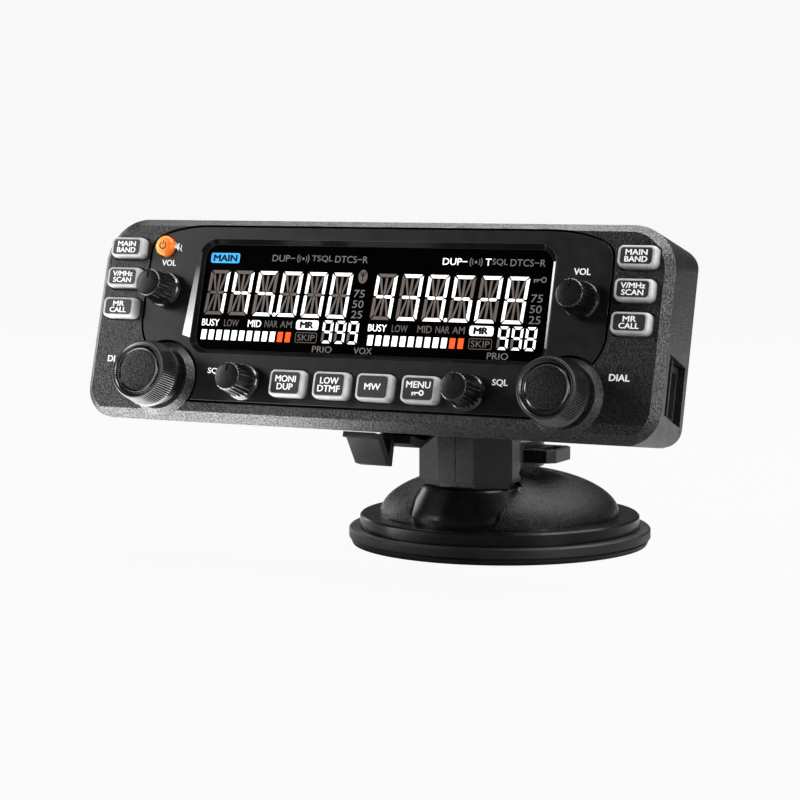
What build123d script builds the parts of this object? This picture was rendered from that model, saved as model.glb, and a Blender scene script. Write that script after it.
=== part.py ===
"""Detachable controller head of a mobile transceiver, on its suction-cup stand.

Frame: millimetres, +Z up, +X to the right of a person facing the panel, +Y away from them.
The origin is the centre of the suction pad's underside, on the surface that the stand sits on.
The head is drawn in its own directions, right, back and up, which lean back by HEAD_TILT.
"""
from build123d import *
from math import cos, radians, sin, tan
import os

os.makedirs("parts", exist_ok=True)

# ---- driving dimensions: head -------------------------------------------------------------
HEAD_WIDTH = 150.0
HEAD_HEIGHT = 50.0
HEAD_DEPTH = 27.2
HEAD_CENTRE = (-11.0, -53.9, 58.2)  # middle of the front face
HEAD_TILT = 15.4  # degrees that the head leans back at rest
TOP_CORNER = 11.0
BOTTOM_CORNER = 8.0
REAR_TOP_CORNER = 4.5
BEVEL = 2.0  # front bevel, both ways
BOTTOM_FACET = ((0, -20.5), (0.5, -22.7), (2.8, -25.0))  # the face's lower strip, (depth, height)
DRAFT = 8.0  # degrees that the side and bottom walls narrow towards the back
WALL = 1.6
COVER_DEPTH = 24.5  # where the front shell ends and the rear cover starts
SEAM = 0.2  # gap between the shell and the cover

# ---- driving dimensions: front panel ------------------------------------------------------
PANEL_TOP = 22.8
PANEL_BOTTOM = -19.9
PANEL_SIDE = 60.6
GROOVE = 0.6  # gap round the centre panel
PANEL_BACK = 2.3  # depth of the panel's back step
PANEL_FLANGE_BACK = 3.5
WINDOW_SIZE = (94.0, 28.3)
WINDOW_HEIGHT = 5.75  # height of the window's centre
WINDOW_BEVEL = 1.2
WINDOW_CORNER = 4.5
BOARD_FRONT = 9.0
BOARD_BACK = 10.6

# ---- driving dimensions: controls ---------------------------------------------------------
DIAL_AT = (52.8, -15.1)
DIAL_RADIUS = 7.15
DIAL_FLARE_RADIUS = 7.9
DIAL_FRONT = -11.9
COLLAR_RADIUS = 9.0
VOLUME_AT = (54.8, 6.7)
SQUELCH_AT = (29.4, -15.3)
SMALL_KNOB_CAP = 3.45
SMALL_KNOB_SKIRT = 4.5
SMALL_KNOB_FRONT = -9.8
SIDE_KEY_X = 66.9
SIDE_KEY_HEIGHTS = {"main": 17.0, "scan": 9.45, "call": 1.9}
SIDE_KEY_SIZE = (9.4, 5.2)
ROW_KEY_HEIGHT = -15.1
ROW_KEYS = {"monitor": -17.4, "low": -5.7, "memory": 5.7, "menu": 17.4}
ROW_KEY_SIZE = (9.3, 6.6)
KEY_FRONT = -2.4
KEY_GAP = 0.35
KEY_FLANGE = (3.8, 4.8)  # depths of the lip that keeps a key in
POWER_AT = (-57.0, 17.8)
POWER_RADIUS = 2.5

# ---- driving dimensions: stand ------------------------------------------------------------
PAD_RADIUS = 38.3
PAD_TOP = 4.1
SHELL_RADIUS = 35.5
SHELL_TOP = 7.3
DOME_RADIUS = 30.4
DOME_RISE = 11.9
CAVITY_RADIUS = 28.4
CAVITY_RISE = 8.4
SEAT_TOP = 16.4
SEAT_Y = -16.5
COLUMN_BOTTOM = 18.0
COLUMN_TOP = 30.6
COLUMN_FRONT = -26.5
COLUMN_BACK = -12.4
COLUMN_HALF_WIDTH = 12.6
SWIVEL_Y = -20.2
POST_RADIUS = 3.6
TILT_Z = 38.0
EYE_RADIUS = 5.0
EYE_WIDTH = 8.0
LUG_THICKNESS = 3.0
ROD_RADIUS = 2.5
HUB_RADIUS = 11.3
HUB_BOTTOM = 19.8
HUB_TOP = 27.0
RUNNING_GAP = 0.05

# ---- the head's own directions and planes -------------------------------------------------
RIGHT = Vector(1, 0, 0)
BACK = Vector(0, cos(radians(HEAD_TILT)), -sin(radians(HEAD_TILT)))
UP = Vector(0, sin(radians(HEAD_TILT)), cos(radians(HEAD_TILT)))
FACE = Vector(*HEAD_CENTRE)
COLUMN_X = -HEAD_CENTRE[0]  # the stand's axis, measured in the head's own frame


def front_plane(depth):
    """Plane across the head at a depth behind its face, drawn (x, height) as seen from the front."""
    return Plane(origin=FACE + BACK * depth, x_dir=RIGHT, z_dir=-BACK)


def rear_plane(depth):
    """The same plane seen from behind, so that a positive extrusion goes towards the back."""
    return Plane(origin=FACE + BACK * depth, x_dir=-RIGHT, z_dir=BACK)


def side_plane(x):
    """Plane along the head at a distance right of its middle, drawn (depth, height)."""
    return Plane(origin=FACE + RIGHT * x, x_dir=BACK, z_dir=RIGHT)


def in_head(point):
    """Depth and height, in the head's frame, of a (y, z) point of the stand."""
    offset = Vector(0, point[0], point[1]) - Vector(0, HEAD_CENTRE[1], HEAD_CENTRE[2])
    return offset.dot(BACK), offset.dot(UP)


TILT_DEPTH, TILT_HEIGHT = in_head((SWIVEL_Y, TILT_Z))
SIDES = {"left": -1, "right": 1}


# ---- shared outlines ----------------------------------------------------------------------
def housing_outline(depth, inset):
    """The housing's outline at a depth behind the bevel, moved inwards by an inset."""
    narrowing = (depth - BEVEL) * tan(radians(DRAFT))
    progress = (depth - BEVEL) / (HEAD_DEPTH - BEVEL)
    top_corner = TOP_CORNER + (REAR_TOP_CORNER - TOP_CORNER) * progress
    with Locations((0, narrowing / 2)):
        Rectangle(HEAD_WIDTH - 2 * narrowing - 2 * inset, HEAD_HEIGHT - narrowing - 2 * inset)
    fillet(vertices().group_by(Axis.Y)[-1], top_corner - inset)
    fillet(vertices().group_by(Axis.Y)[0], BOTTOM_CORNER - narrowing - inset)


def housing_solid(front, back, inset, mode):
    """The solid between the housing's outlines at two depths."""
    outlines = []
    for depth in (front, back):
        with BuildSketch(front_plane(depth)) as outline:
            housing_outline(depth, inset)
        outlines.append(outline.sketch.face())
    loft(sections=outlines, ruled=True, mode=mode)


def panel_outline(margin, dial_clearance):
    """The centre panel's outline, grown by a margin and cut round the dials."""
    with BuildLine() as outline:
        top = Line((0, PANEL_TOP), (45.0, PANEL_TOP))
        shoulder = TangentArc(top @ 1, (57.6, 20.6), tangent=top % 1)
        corner = TangentArc(shoulder @ 1, (PANEL_SIDE, 16.6), tangent=shoulder % 1)
        side = Line(corner @ 1, (PANEL_SIDE, -0.5))
        turn = TangentArc(side @ 1, (57.8, -7.4), tangent=side % 1)
        Polyline(turn @ 1, (53.5, -11.9), (53.5, PANEL_BOTTOM), (0, PANEL_BOTTOM))
        mirror(about=Plane.YZ)
    make_face(outline.edges())
    if margin:
        offset(amount=margin)
    with Locations(*[(s * DIAL_AT[0], DIAL_AT[1]) for s in SIDES.values()]):
        Circle(dial_clearance, mode=Mode.SUBTRACT)


def side_key_places():
    """Centres of the keys down both sides of the panel."""
    return [(s * SIDE_KEY_X, h) for s in SIDES.values() for h in SIDE_KEY_HEIGHTS.values()]


def row_key_places():
    """Centres of the keys along the bottom of the panel."""
    return [(x, ROW_KEY_HEIGHT) for x in ROW_KEYS.values()]


def key_hole(size):
    """The hole that a key stands in."""
    RectangleRounded(size[0] + 2 * KEY_GAP, size[1] + 2 * KEY_GAP, 1.7)


def column_outline(inset):
    """The column's eight-sided section, moved inwards by an inset."""
    front_flat = 4.9
    side_front = -20.8
    side_back = -15.6
    with BuildLine() as outline:
        Polyline(
            (0, COLUMN_FRONT),
            (front_flat, COLUMN_FRONT),
            (COLUMN_HALF_WIDTH, side_front),
            (COLUMN_HALF_WIDTH, side_back),
            (COLUMN_HALF_WIDTH - 3, COLUMN_BACK),
            (0, COLUMN_BACK),
        )
        mirror(about=Plane.YZ)
    make_face(outline.edges())
    if inset:
        offset(amount=-inset, kind=Kind.INTERSECTION)


# ---- stand: suction pad, shell, plunger ---------------------------------------------------
with BuildPart() as suction_pad:
    with BuildSketch(Plane.XZ):
        with BuildLine():
            Polyline(
                (10.4, 0),
                (PAD_RADIUS - 0.9, 0),
                (PAD_RADIUS - 0.4, 1.1),
                (PAD_RADIUS - 0.8, 1.45),
                (PAD_RADIUS, 1.7),
                (PAD_RADIUS, 3.7),
                (PAD_RADIUS - 0.4, PAD_TOP),
                (28.0, PAD_TOP),
                (27.0, 2.0),
                (10.4, 2.0),
                close=True,
            )
        make_face()
    revolve(axis=Axis.Z)
suction_pad.part.label = "suction_pad"
export_step(suction_pad.part, "parts/suction_pad.step")

with BuildPart() as base_shell:
    shell_bottom = PAD_TOP + 0.1
    with BuildSketch(Plane.XZ):
        with BuildLine():
            foot = Polyline(
                (0, shell_bottom),
                (SHELL_RADIUS, shell_bottom),
                (SHELL_RADIUS, SHELL_TOP - 0.4),
                (SHELL_RADIUS - 0.4, SHELL_TOP),
                (DOME_RADIUS, SHELL_TOP),
            )
            dome = EllipticalCenterArc((0, SHELL_TOP), DOME_RADIUS, DOME_RISE, start_angle=0, arc_size=90)
            Line(dome @ 1, foot @ 0)
        make_face()
    revolve(axis=Axis.Z)
    # the smooth pedestal that flares from under the column down to the ring
    pedestal_axis = Axis((0, SEAT_Y, 0), (0, 0, 1))
    with BuildSketch(Plane.XZ.offset(-SEAT_Y)):
        with BuildLine():
            wall = Polyline((0, SEAT_TOP), (0, SHELL_TOP), (15.7, SHELL_TOP), (15.9, 9.4))
            flare = Polyline(wall @ 1, (15.5, 10.4), (12.4, SEAT_TOP - 0.4), (12.0, SEAT_TOP))
            Line(flare @ 1, wall @ 0)
        make_face()
    revolve(axis=pedestal_axis)
    with BuildSketch(Plane.XZ):
        with BuildLine():
            roof_centre = (0, SHELL_TOP)
            roof = EllipticalCenterArc(roof_centre, CAVITY_RADIUS, CAVITY_RISE, start_angle=0, arc_size=90)
            Polyline(roof @ 1, (0, shell_bottom), (CAVITY_RADIUS, shell_bottom), roof @ 0)
        make_face()
    revolve(axis=Axis.Z, mode=Mode.SUBTRACT)
    with BuildSketch(Plane.XY.offset(SEAT_TOP)):
        column_outline(-0.8)
    extrude(amount=10, mode=Mode.SUBTRACT)
    with BuildSketch(Plane.XY.offset(10.0)):
        Circle(4.6)
    extrude(amount=7.5)
    with BuildSketch(Plane.XY.offset(9.0)):
        Circle(ROD_RADIUS + RUNNING_GAP)
    extrude(amount=12, mode=Mode.SUBTRACT)
    with BuildSketch(Plane.XY.offset(12.0)):
        with Locations((-7.0, -18.5), (7.0, -18.5)):
            Circle(1.6)
    extrude(amount=5, mode=Mode.SUBTRACT)
base_shell.part.label = "base_shell"
export_step(base_shell.part, "parts/base_shell.step")

with BuildPart() as plunger:
    with BuildSketch(Plane.XY.offset(2.3)):
        Circle(9.6)
    extrude(amount=2.2)
    with BuildSketch(Plane.XY.offset(4.5)):
        Circle(ROD_RADIUS)
    extrude(amount=25.3)
plunger.part.label = "plunger"
export_step(plunger.part, "parts/plunger.step")

with BuildPart() as plunger_nut:
    with BuildSketch(Plane.XY.offset(27.1)):
        RegularPolygon(4.6, 6)
        Circle(ROD_RADIUS + RUNNING_GAP, mode=Mode.SUBTRACT)
    extrude(amount=2.4)
    chamfer(plunger_nut.part.faces().sort_by(Axis.Z)[-1].edges(), 0.3)
plunger_nut.part.label = "plunger_nut"
export_step(plunger_nut.part, "parts/plunger_nut.step")

with BuildPart() as plunger_spring:
    spring_wire = 0.35
    spring_coil = 3.5
    with BuildLine():
        Helix(pitch=1.15, height=4.0, radius=spring_coil, center=(0, 0, 5.3))
    with BuildSketch(Plane(origin=(spring_coil, 0, 5.3), z_dir=(0, 1, 0.05))):
        Circle(spring_wire)
    sweep(is_frenet=True)
plunger_spring.part.label = "plunger_spring"
export_step(plunger_spring.part, "parts/plunger_spring.step")

with BuildPart() as lock_lever:
    lever_reach = 17.4
    lever_bottom = HUB_BOTTOM + 1.6
    lever_thickness = 3.2
    lever_half_width = 6.5
    cut_start = 15.6  # where the lever's corners are cut off
    with BuildSketch(Plane.XY.offset(HUB_BOTTOM)):
        Circle(HUB_RADIUS)
    extrude(amount=HUB_TOP - HUB_BOTTOM)
    chamfer(lock_lever.part.faces().sort_by(Axis.Z)[-1].edges(), 0.6)
    # the flat lever, with cut corners and a thumb recess in its top
    with BuildSketch(Plane.XY.offset(lever_bottom)):
        with BuildLine():
            Polyline(
                (4, -lever_half_width),
                (cut_start, -lever_half_width),
                (lever_reach, -4.6),
                (lever_reach, 4.6),
                (cut_start, lever_half_width),
                (4, lever_half_width),
                close=True,
            )
        make_face()
    extrude(amount=lever_thickness)
    with BuildSketch(Plane.XY.offset(lever_bottom + lever_thickness - 0.9)):
        with Locations((14.2, 0)):
            RectangleRounded(3.6, 8.0, 1.2)
    extrude(amount=0.9, mode=Mode.SUBTRACT)
    with BuildSketch(Plane.XY.offset(25.0)):
        Circle(6.2)
    extrude(amount=4, mode=Mode.SUBTRACT)
    with BuildSketch(Plane.XY.offset(HUB_BOTTOM - 1)):
        Circle(ROD_RADIUS + RUNNING_GAP)
    extrude(amount=10, mode=Mode.SUBTRACT)
lock_lever.part.label = "lock_lever"
export_step(lock_lever.part, "parts/lock_lever.step")

# ---- stand: column, screws, swivel --------------------------------------------------------
PINCH_Y = -14.7
PINCH_HEIGHTS = (21.3, 27.6)
SPLIT = 0.1  # half of the gap between the column's halves

for side, sign in SIDES.items():
    with BuildPart() as column_half:
        with BuildSketch(Plane.XY.offset(SEAT_TOP + 0.05)):
            column_outline(1.3)
        extrude(amount=COLUMN_BOTTOM - SEAT_TOP)
        with BuildSketch(Plane.XY.offset(COLUMN_BOTTOM)):
            column_outline(0)
        extrude(amount=COLUMN_TOP - COLUMN_BOTTOM)
        with BuildSketch(Plane.XY.offset(COLUMN_BOTTOM + 0.8)):
            with Locations((0, SWIVEL_Y)):
                Circle(POST_RADIUS + RUNNING_GAP)
        extrude(amount=20, mode=Mode.SUBTRACT)
        with BuildSketch(Plane.YZ.offset(-20)):
            with Locations(*[(PINCH_Y, z) for z in PINCH_HEIGHTS]):
                Circle(1.35)
        extrude(amount=40, mode=Mode.SUBTRACT)
        with BuildSketch(Plane.YZ.offset(9.4)):
            with Locations(*[(PINCH_Y, z) for z in PINCH_HEIGHTS]):
                Circle(2.3)
        extrude(amount=8, mode=Mode.SUBTRACT)
        with BuildSketch(Plane.XY.offset(16)):
            with Locations((-7.0, -18.5), (7.0, -18.5)):
                Circle(1.35)
        extrude(amount=8.2, mode=Mode.SUBTRACT)
        with BuildSketch(Plane.XY.offset(SEAT_TOP - 1)):
            with Locations((-sign * (20 - SPLIT), -20)):
                Rectangle(40, 40)
        extrude(amount=20, mode=Mode.SUBTRACT)
    column_half.part.label = f"column_half_{side}"
    export_step(column_half.part, f"parts/column_half_{side}.step")

with BuildPart() as column_screws:
    for z in PINCH_HEIGHTS:
        with BuildSketch(Plane.YZ.offset(-8)):
            with Locations((PINCH_Y, z)):
                Circle(1.25)
        extrude(amount=17.6)
        with BuildSketch(Plane.YZ.offset(9.5)):
            with Locations((PINCH_Y, z)):
                Circle(2.2)
                RegularPolygon(1.1, 6, mode=Mode.SUBTRACT)
        extrude(amount=1.7)
column_screws.part.label = "column_screws"
export_step(column_screws.part, "parts/column_screws.step")

with BuildPart() as seat_screws:
    for x in (-7.0, 7.0):
        with BuildSketch(Plane.XY.offset(10.8)):
            with Locations((x, -18.5)):
                Circle(2.6)
        extrude(amount=1.4)
        with BuildSketch(Plane.XY.offset(12.1)):
            with Locations((x, -18.5)):
                Circle(1.25)
        extrude(amount=11.6)
seat_screws.part.label = "seat_screws"
export_step(seat_screws.part, "parts/seat_screws.step")

with BuildPart() as swivel_knuckle:
    with BuildSketch(Plane.XY.offset(COLUMN_BOTTOM + 1.0)):
        with Locations((0, SWIVEL_Y)):
            Circle(POST_RADIUS)
    extrude(amount=COLUMN_TOP - COLUMN_BOTTOM)
    with BuildSketch(Plane.XY.offset(COLUMN_TOP + 0.3)):
        with Locations((0, SWIVEL_Y)):
            Circle(6.0)
    extrude(amount=1.2)
    with BuildSketch(Plane.YZ.offset(-EYE_WIDTH / 2)):
        with Locations((SWIVEL_Y, TILT_Z)):
            Circle(EYE_RADIUS)
        with Locations((SWIVEL_Y, (TILT_Z + COLUMN_TOP + 1) / 2)):
            Rectangle(2 * EYE_RADIUS - 1, TILT_Z - COLUMN_TOP - 1)
    extrude(amount=EYE_WIDTH)
    with BuildSketch(Plane.YZ.offset(-EYE_WIDTH)):
        with Locations((SWIVEL_Y, TILT_Z)):
            Circle(2.1)
    extrude(amount=2 * EYE_WIDTH, mode=Mode.SUBTRACT)
swivel_knuckle.part.label = "swivel_knuckle"
export_step(swivel_knuckle.part, "parts/swivel_knuckle.step")

# ---- head holder: bracket, tilt screw, latch ----------------------------------------------
LUG_INNER = EYE_WIDTH / 2 + 0.35
LUG_OUTER = LUG_INNER + LUG_THICKNESS
BRACKET_LEFT = -6.0
BRACKET_RIGHT = 2 * COLUMN_X - BRACKET_LEFT
BRACKET_BACK = 29.8
SHELF_RIGHT = 8.0
LATCH_HALF_WIDTH = 4.2
HOOK_XS = (BRACKET_LEFT + 5, BRACKET_RIGHT - 5)
HOOK_HEIGHT = 4.0

with BuildPart() as head_bracket:
    # one bent plate: a shelf under the head, a slope round its bottom edge and a back plate
    with BuildSketch(side_plane(BRACKET_LEFT)):
        with BuildLine():
            Polyline(
                (15.9, -25.4),
                (21.9, -25.4),
                (BRACKET_BACK, -20.8),
                (BRACKET_BACK, 9.0),
                (HEAD_DEPTH + 0.3, 9.0),
                (HEAD_DEPTH + 0.3, -21.4),
                (23.6, -23.4),
                (15.9, -23.4),
                close=True,
            )
        make_face()
    extrude(amount=BRACKET_RIGHT - BRACKET_LEFT)
    # the shelf stops beside the latch, and the back plate goes on alone past the column
    with BuildSketch(front_plane(BRACKET_BACK + 1)):
        with Locations(((SHELF_RIGHT + BRACKET_RIGHT + 1) / 2, -25.6)):
            Rectangle(BRACKET_RIGHT + 1 - SHELF_RIGHT, 10.0)
    extrude(amount=BRACKET_BACK, mode=Mode.SUBTRACT)
    # two hooks that enter the rear cover's slots
    with BuildSketch(front_plane(HEAD_DEPTH + 0.4)):
        with Locations(*[(x, HOOK_HEIGHT) for x in HOOK_XS]):
            Rectangle(4.0, 2.4)
    extrude(amount=2.2)
    # two ears that hold the tilt screw
    for ear_x in (COLUMN_X - LUG_OUTER, COLUMN_X + LUG_INNER):
        with BuildSketch(side_plane(ear_x)):
            with Locations((TILT_DEPTH, TILT_HEIGHT)):
                Circle(EYE_RADIUS)
            with Locations((BRACKET_BACK - 0.5, TILT_HEIGHT + 0.5)):
                Rectangle(1.0, 17.0)
            make_hull()
        extrude(amount=LUG_THICKNESS)
    with BuildSketch(side_plane(COLUMN_X - 2 * EYE_WIDTH)):
        with Locations((TILT_DEPTH, TILT_HEIGHT)):
            Circle(2.05)
    extrude(amount=4 * EYE_WIDTH, mode=Mode.SUBTRACT)
head_bracket.part.label = "head_bracket"
export_step(head_bracket.part, "parts/head_bracket.step")

with BuildPart() as tilt_screw:
    with BuildSketch(Plane.YZ.offset(-LUG_OUTER - 0.1)):
        with Locations((SWIVEL_Y, TILT_Z)):
            Circle(2.0)
    extrude(amount=2 * LUG_OUTER + 6.5)
    with BuildSketch(Plane.YZ.offset(-LUG_OUTER - 2.9)):
        with Locations((SWIVEL_Y, TILT_Z)):
            Circle(3.6)
            RegularPolygon(1.7, 6, mode=Mode.SUBTRACT)
    extrude(amount=1.6)
    with BuildSketch(Plane.YZ.offset(-LUG_OUTER - 1.3)):
        with Locations((SWIVEL_Y, TILT_Z)):
            Circle(3.6)
    extrude(amount=1.2)
tilt_screw.part.label = "tilt_screw"
export_step(tilt_screw.part, "parts/tilt_screw.step")

with BuildPart() as tilt_thumb_nut:
    with BuildSketch(Plane.YZ.offset(LUG_OUTER + 0.2)):
        with Locations((SWIVEL_Y, TILT_Z)):
            Circle(6.0)
            with PolarLocations(6.6, 8):
                Circle(1.5, mode=Mode.SUBTRACT)
            Circle(2.05, mode=Mode.SUBTRACT)
    extrude(amount=5.2)
tilt_thumb_nut.part.label = "tilt_thumb_nut"
export_step(tilt_thumb_nut.part, "parts/tilt_thumb_nut.step")

with BuildPart() as release_latch:
    # bent strip: a finger tab that goes back and down, then up to its living hinge
    with BuildSketch(side_plane(-LATCH_HALF_WIDTH)):
        with BuildLine():
            Polyline(
                (4.6, -24.8),
                (8.6, -24.8),
                (13.3, -29.2),
                (13.7, -24.4),
                (15.2, -24.4),
                (15.4, -31.1),
                (12.6, -31.1),
                (6.6, -26.1),
                (4.6, -26.1),
                close=True,
            )
        make_face()
    extrude(amount=2 * LATCH_HALF_WIDTH)
release_latch.part.label = "release_latch"
export_step(release_latch.part, "parts/release_latch.step")

# ---- head: shells -------------------------------------------------------------------------
RECESS_DEPTHS = (4.9, 22.4)
RECESS_HEIGHTS = (-17.3, -3.4)
RECESS_FLOOR = 60.0
RIB_DEPTH = 12.9
SCREW_PLACES = [(-52.0, 16.6), (52.0, 16.6), (-40.5, -16.6), (40.5, -16.6)]
TOP_WEB_END = 24.2
BOTTOM_WEB_END = -21.4
recess_centre = (sum(RECESS_DEPTHS) / 2, sum(RECESS_HEIGHTS) / 2)
recess_size = (RECESS_DEPTHS[1] - RECESS_DEPTHS[0], RECESS_HEIGHTS[1] - RECESS_HEIGHTS[0])
JACK_DEPTHS = (13.5, 22.1)
PLUG_SIZE = (7.4, 10.4)  # the modular plug's section, along depth and height
jack_centre = (sum(JACK_DEPTHS) / 2, recess_centre[1])

with BuildPart() as front_bezel:
    housing_solid(BEVEL, COVER_DEPTH, 0, Mode.ADD)
    with BuildSketch(front_plane(BEVEL)):
        housing_outline(BEVEL, 0)
    extrude(amount=BEVEL, taper=45)
    housing_solid(BEVEL, HEAD_DEPTH, WALL, Mode.SUBTRACT)
    # the face's lower strip leans back, down to a wider bottom bevel
    with BuildSketch(side_plane(-HEAD_WIDTH / 2 - 1)):
        with BuildLine():
            facet = Polyline(*BOTTOM_FACET)
            below = -HEAD_HEIGHT / 2 - 1
            Polyline(facet @ 1, (3, below), (-1, below), (-1, BOTTOM_FACET[0][1]), facet @ 0)
        make_face()
    extrude(amount=HEAD_WIDTH + 2, mode=Mode.SUBTRACT)
    with BuildSketch(front_plane(BEVEL + 0.5)):
        panel_outline(GROOVE, COLLAR_RADIUS)
    extrude(amount=BEVEL + 1, mode=Mode.SUBTRACT)
    with BuildSketch(front_plane(BEVEL + 0.5)):
        with Locations(*side_key_places()):
            key_hole(SIDE_KEY_SIZE)
    extrude(amount=BEVEL + 1, mode=Mode.SUBTRACT)
    # low conical collars round the dials
    with BuildSketch(front_plane(BEVEL)):
        with Locations(*[(s * DIAL_AT[0], DIAL_AT[1]) for s in SIDES.values()]):
            Circle(COLLAR_RADIUS)
    extrude(amount=BEVEL)
    with BuildSketch(front_plane(0)):
        with Locations(*[(s * DIAL_AT[0], DIAL_AT[1]) for s in SIDES.values()]):
            Circle(COLLAR_RADIUS)
    extrude(amount=1.8, taper=35)
    with BuildSketch(front_plane(BEVEL + 0.5)):
        with Locations(*[(s * DIAL_AT[0], DIAL_AT[1]) for s in SIDES.values()]):
            Circle(3.7)
    extrude(amount=BEVEL + 4, mode=Mode.SUBTRACT)
    # screw bosses behind the board, webbed to the nearest wall
    with BuildSketch(front_plane(COVER_DEPTH - 1.2)):
        for x, height in SCREW_PLACES:
            with Locations((x, height)):
                Circle(2.6)
            web_end = TOP_WEB_END if height > 0 else BOTTOM_WEB_END
            with Locations((x, (height + web_end) / 2)):
                Rectangle(2.0, abs(web_end - height))
    extrude(amount=COVER_DEPTH - 1.2 - BOARD_BACK - 0.3)
    with BuildSketch(front_plane(COVER_DEPTH)):
        with Locations(*SCREW_PLACES):
            Circle(1.25)
    extrude(amount=COVER_DEPTH - BOARD_BACK, mode=Mode.SUBTRACT)
    # cable recess in the right-hand wall: a boxed pocket with a mouth and a dividing rib
    with BuildSketch(side_plane(RECESS_FLOOR)):
        with Locations(recess_centre):
            Rectangle(recess_size[0] + 2, recess_size[1] + 2)
    extrude(amount=12)
    with BuildSketch(side_plane(RECESS_FLOOR + 1)):
        with Locations(recess_centre):
            Rectangle(*recess_size)
    extrude(amount=25, mode=Mode.SUBTRACT)
    with BuildSketch(side_plane(RECESS_FLOOR - 1)):
        with Locations(jack_centre):
            Rectangle(JACK_DEPTHS[1] - JACK_DEPTHS[0] + 0.2, recess_size[1])
    extrude(amount=5, mode=Mode.SUBTRACT)
    with BuildSketch(side_plane(RECESS_FLOOR + 6)):
        with Locations((RIB_DEPTH, recess_centre[1])):
            Rectangle(0.7, recess_size[1] + 1)
    extrude(amount=6.3)
front_bezel.part.label = "front_bezel"
export_step(front_bezel.part, "parts/front_bezel.step")

with BuildPart() as rear_cover:
    cover_front = COVER_DEPTH + SEAM
    cover_inset = 0.2
    housing_solid(cover_front, HEAD_DEPTH, cover_inset, Mode.ADD)
    chamfer(rear_cover.part.faces().sort_by(Axis((0, 0, 0), BACK))[-1].edges(), 0.7)
    # locating lip inside the front shell
    with BuildSketch(front_plane(cover_front)):
        housing_outline(cover_front, cover_inset + WALL + 0.5)
        offset(amount=-1.2, mode=Mode.SUBTRACT)
    extrude(amount=1.0)
    with Locations(*[rear_plane(HEAD_DEPTH) * Location((-x, h, 0)) for x, h in SCREW_PLACES]):
        CounterSinkHole(1.4, 2.7, depth=HEAD_DEPTH)
    with BuildSketch(front_plane(HEAD_DEPTH + 1)):
        with Locations(*[(x, HOOK_HEIGHT) for x in HOOK_XS]):
            Rectangle(4.8, 3.2)
    extrude(amount=6, mode=Mode.SUBTRACT)
rear_cover.part.label = "rear_cover"
export_step(rear_cover.part, "parts/rear_cover.step")

with BuildPart() as rear_screws:
    for x, height in SCREW_PLACES:
        with BuildSketch(front_plane(HEAD_DEPTH - 0.1)):
            with Locations((x, height)):
                Circle(2.2)
                RegularPolygon(0.8, 4, mode=Mode.SUBTRACT)
        extrude(amount=0.7, taper=38)
        with BuildSketch(front_plane(HEAD_DEPTH - 0.8)):
            with Locations((x, height)):
                Circle(1.15)
        extrude(amount=10.0)
rear_screws.part.label = "rear_screws"
export_step(rear_screws.part, "parts/rear_screws.step")

# ---- head: centre panel and display -------------------------------------------------------
LENS_FRONT = WINDOW_BEVEL + 0.05
LENS_SIZE = (WINDOW_SIZE[0] + 1.0, WINDOW_SIZE[1] + 1.0)
LCD_SIZE = (92.0, 27.0)
ENCODER_SIZE = 12.4
POT_SIZE = 9.6


def window_outline(inset):
    """The display window, moved inwards by an inset."""
    with Locations((0, WINDOW_HEIGHT)):
        RectangleRounded(WINDOW_SIZE[0] - 2 * inset, WINDOW_SIZE[1] - 2 * inset, WINDOW_CORNER - inset)


with BuildPart() as centre_panel:
    with BuildSketch(front_plane(PANEL_BACK)):
        panel_outline(0, COLLAR_RADIUS + GROOVE)
    extrude(amount=PANEL_BACK)
    # back step that hides the groove from inside
    with BuildSketch(front_plane(PANEL_FLANGE_BACK)):
        panel_outline(1.2, COLLAR_RADIUS + GROOVE - 1.2)
        Rectangle(HEAD_WIDTH, 2 * PANEL_TOP, mode=Mode.INTERSECT)
    extrude(amount=PANEL_FLANGE_BACK - PANEL_BACK)
    with BuildSketch(front_plane(WINDOW_BEVEL)):
        window_outline(WINDOW_BEVEL)
    extrude(amount=WINDOW_BEVEL, taper=-45, mode=Mode.SUBTRACT)
    with BuildSketch(front_plane(PANEL_FLANGE_BACK + 1)):
        with Locations((0, WINDOW_HEIGHT)):
            RectangleRounded(LENS_SIZE[0] + 0.4, LENS_SIZE[1] + 0.4, WINDOW_CORNER)
    extrude(amount=PANEL_FLANGE_BACK + 1 - WINDOW_BEVEL, mode=Mode.SUBTRACT)
    with BuildSketch(front_plane(PANEL_FLANGE_BACK + 1)):
        with Locations(*row_key_places()):
            key_hole(ROW_KEY_SIZE)
        with Locations(*[(s * VOLUME_AT[0], VOLUME_AT[1]) for s in SIDES.values()]):
            Circle(3.2)
        with Locations(*[(s * SQUELCH_AT[0], SQUELCH_AT[1]) for s in SIDES.values()]):
            Circle(3.2)
        with Locations(POWER_AT):
            Circle(POWER_RADIUS + KEY_GAP)
    extrude(amount=10, mode=Mode.SUBTRACT)
centre_panel.part.label = "centre_panel"
export_step(centre_panel.part, "parts/centre_panel.step")

with BuildPart() as display_lens:
    with BuildSketch(front_plane(LENS_FRONT + 1.4)):
        with Locations((0, WINDOW_HEIGHT)):
            RectangleRounded(*LENS_SIZE, WINDOW_CORNER - 0.2)
    extrude(amount=1.4)
display_lens.part.label = "display_lens"
export_step(display_lens.part, "parts/display_lens.step")

with BuildPart() as lcd_glass:
    with BuildSketch(front_plane(LENS_FRONT + 3.6)):
        with Locations((0, WINDOW_HEIGHT)):
            Rectangle(*LCD_SIZE)
    extrude(amount=2.0)
lcd_glass.part.label = "lcd_glass"
export_step(lcd_glass.part, "parts/lcd_glass.step")

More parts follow.
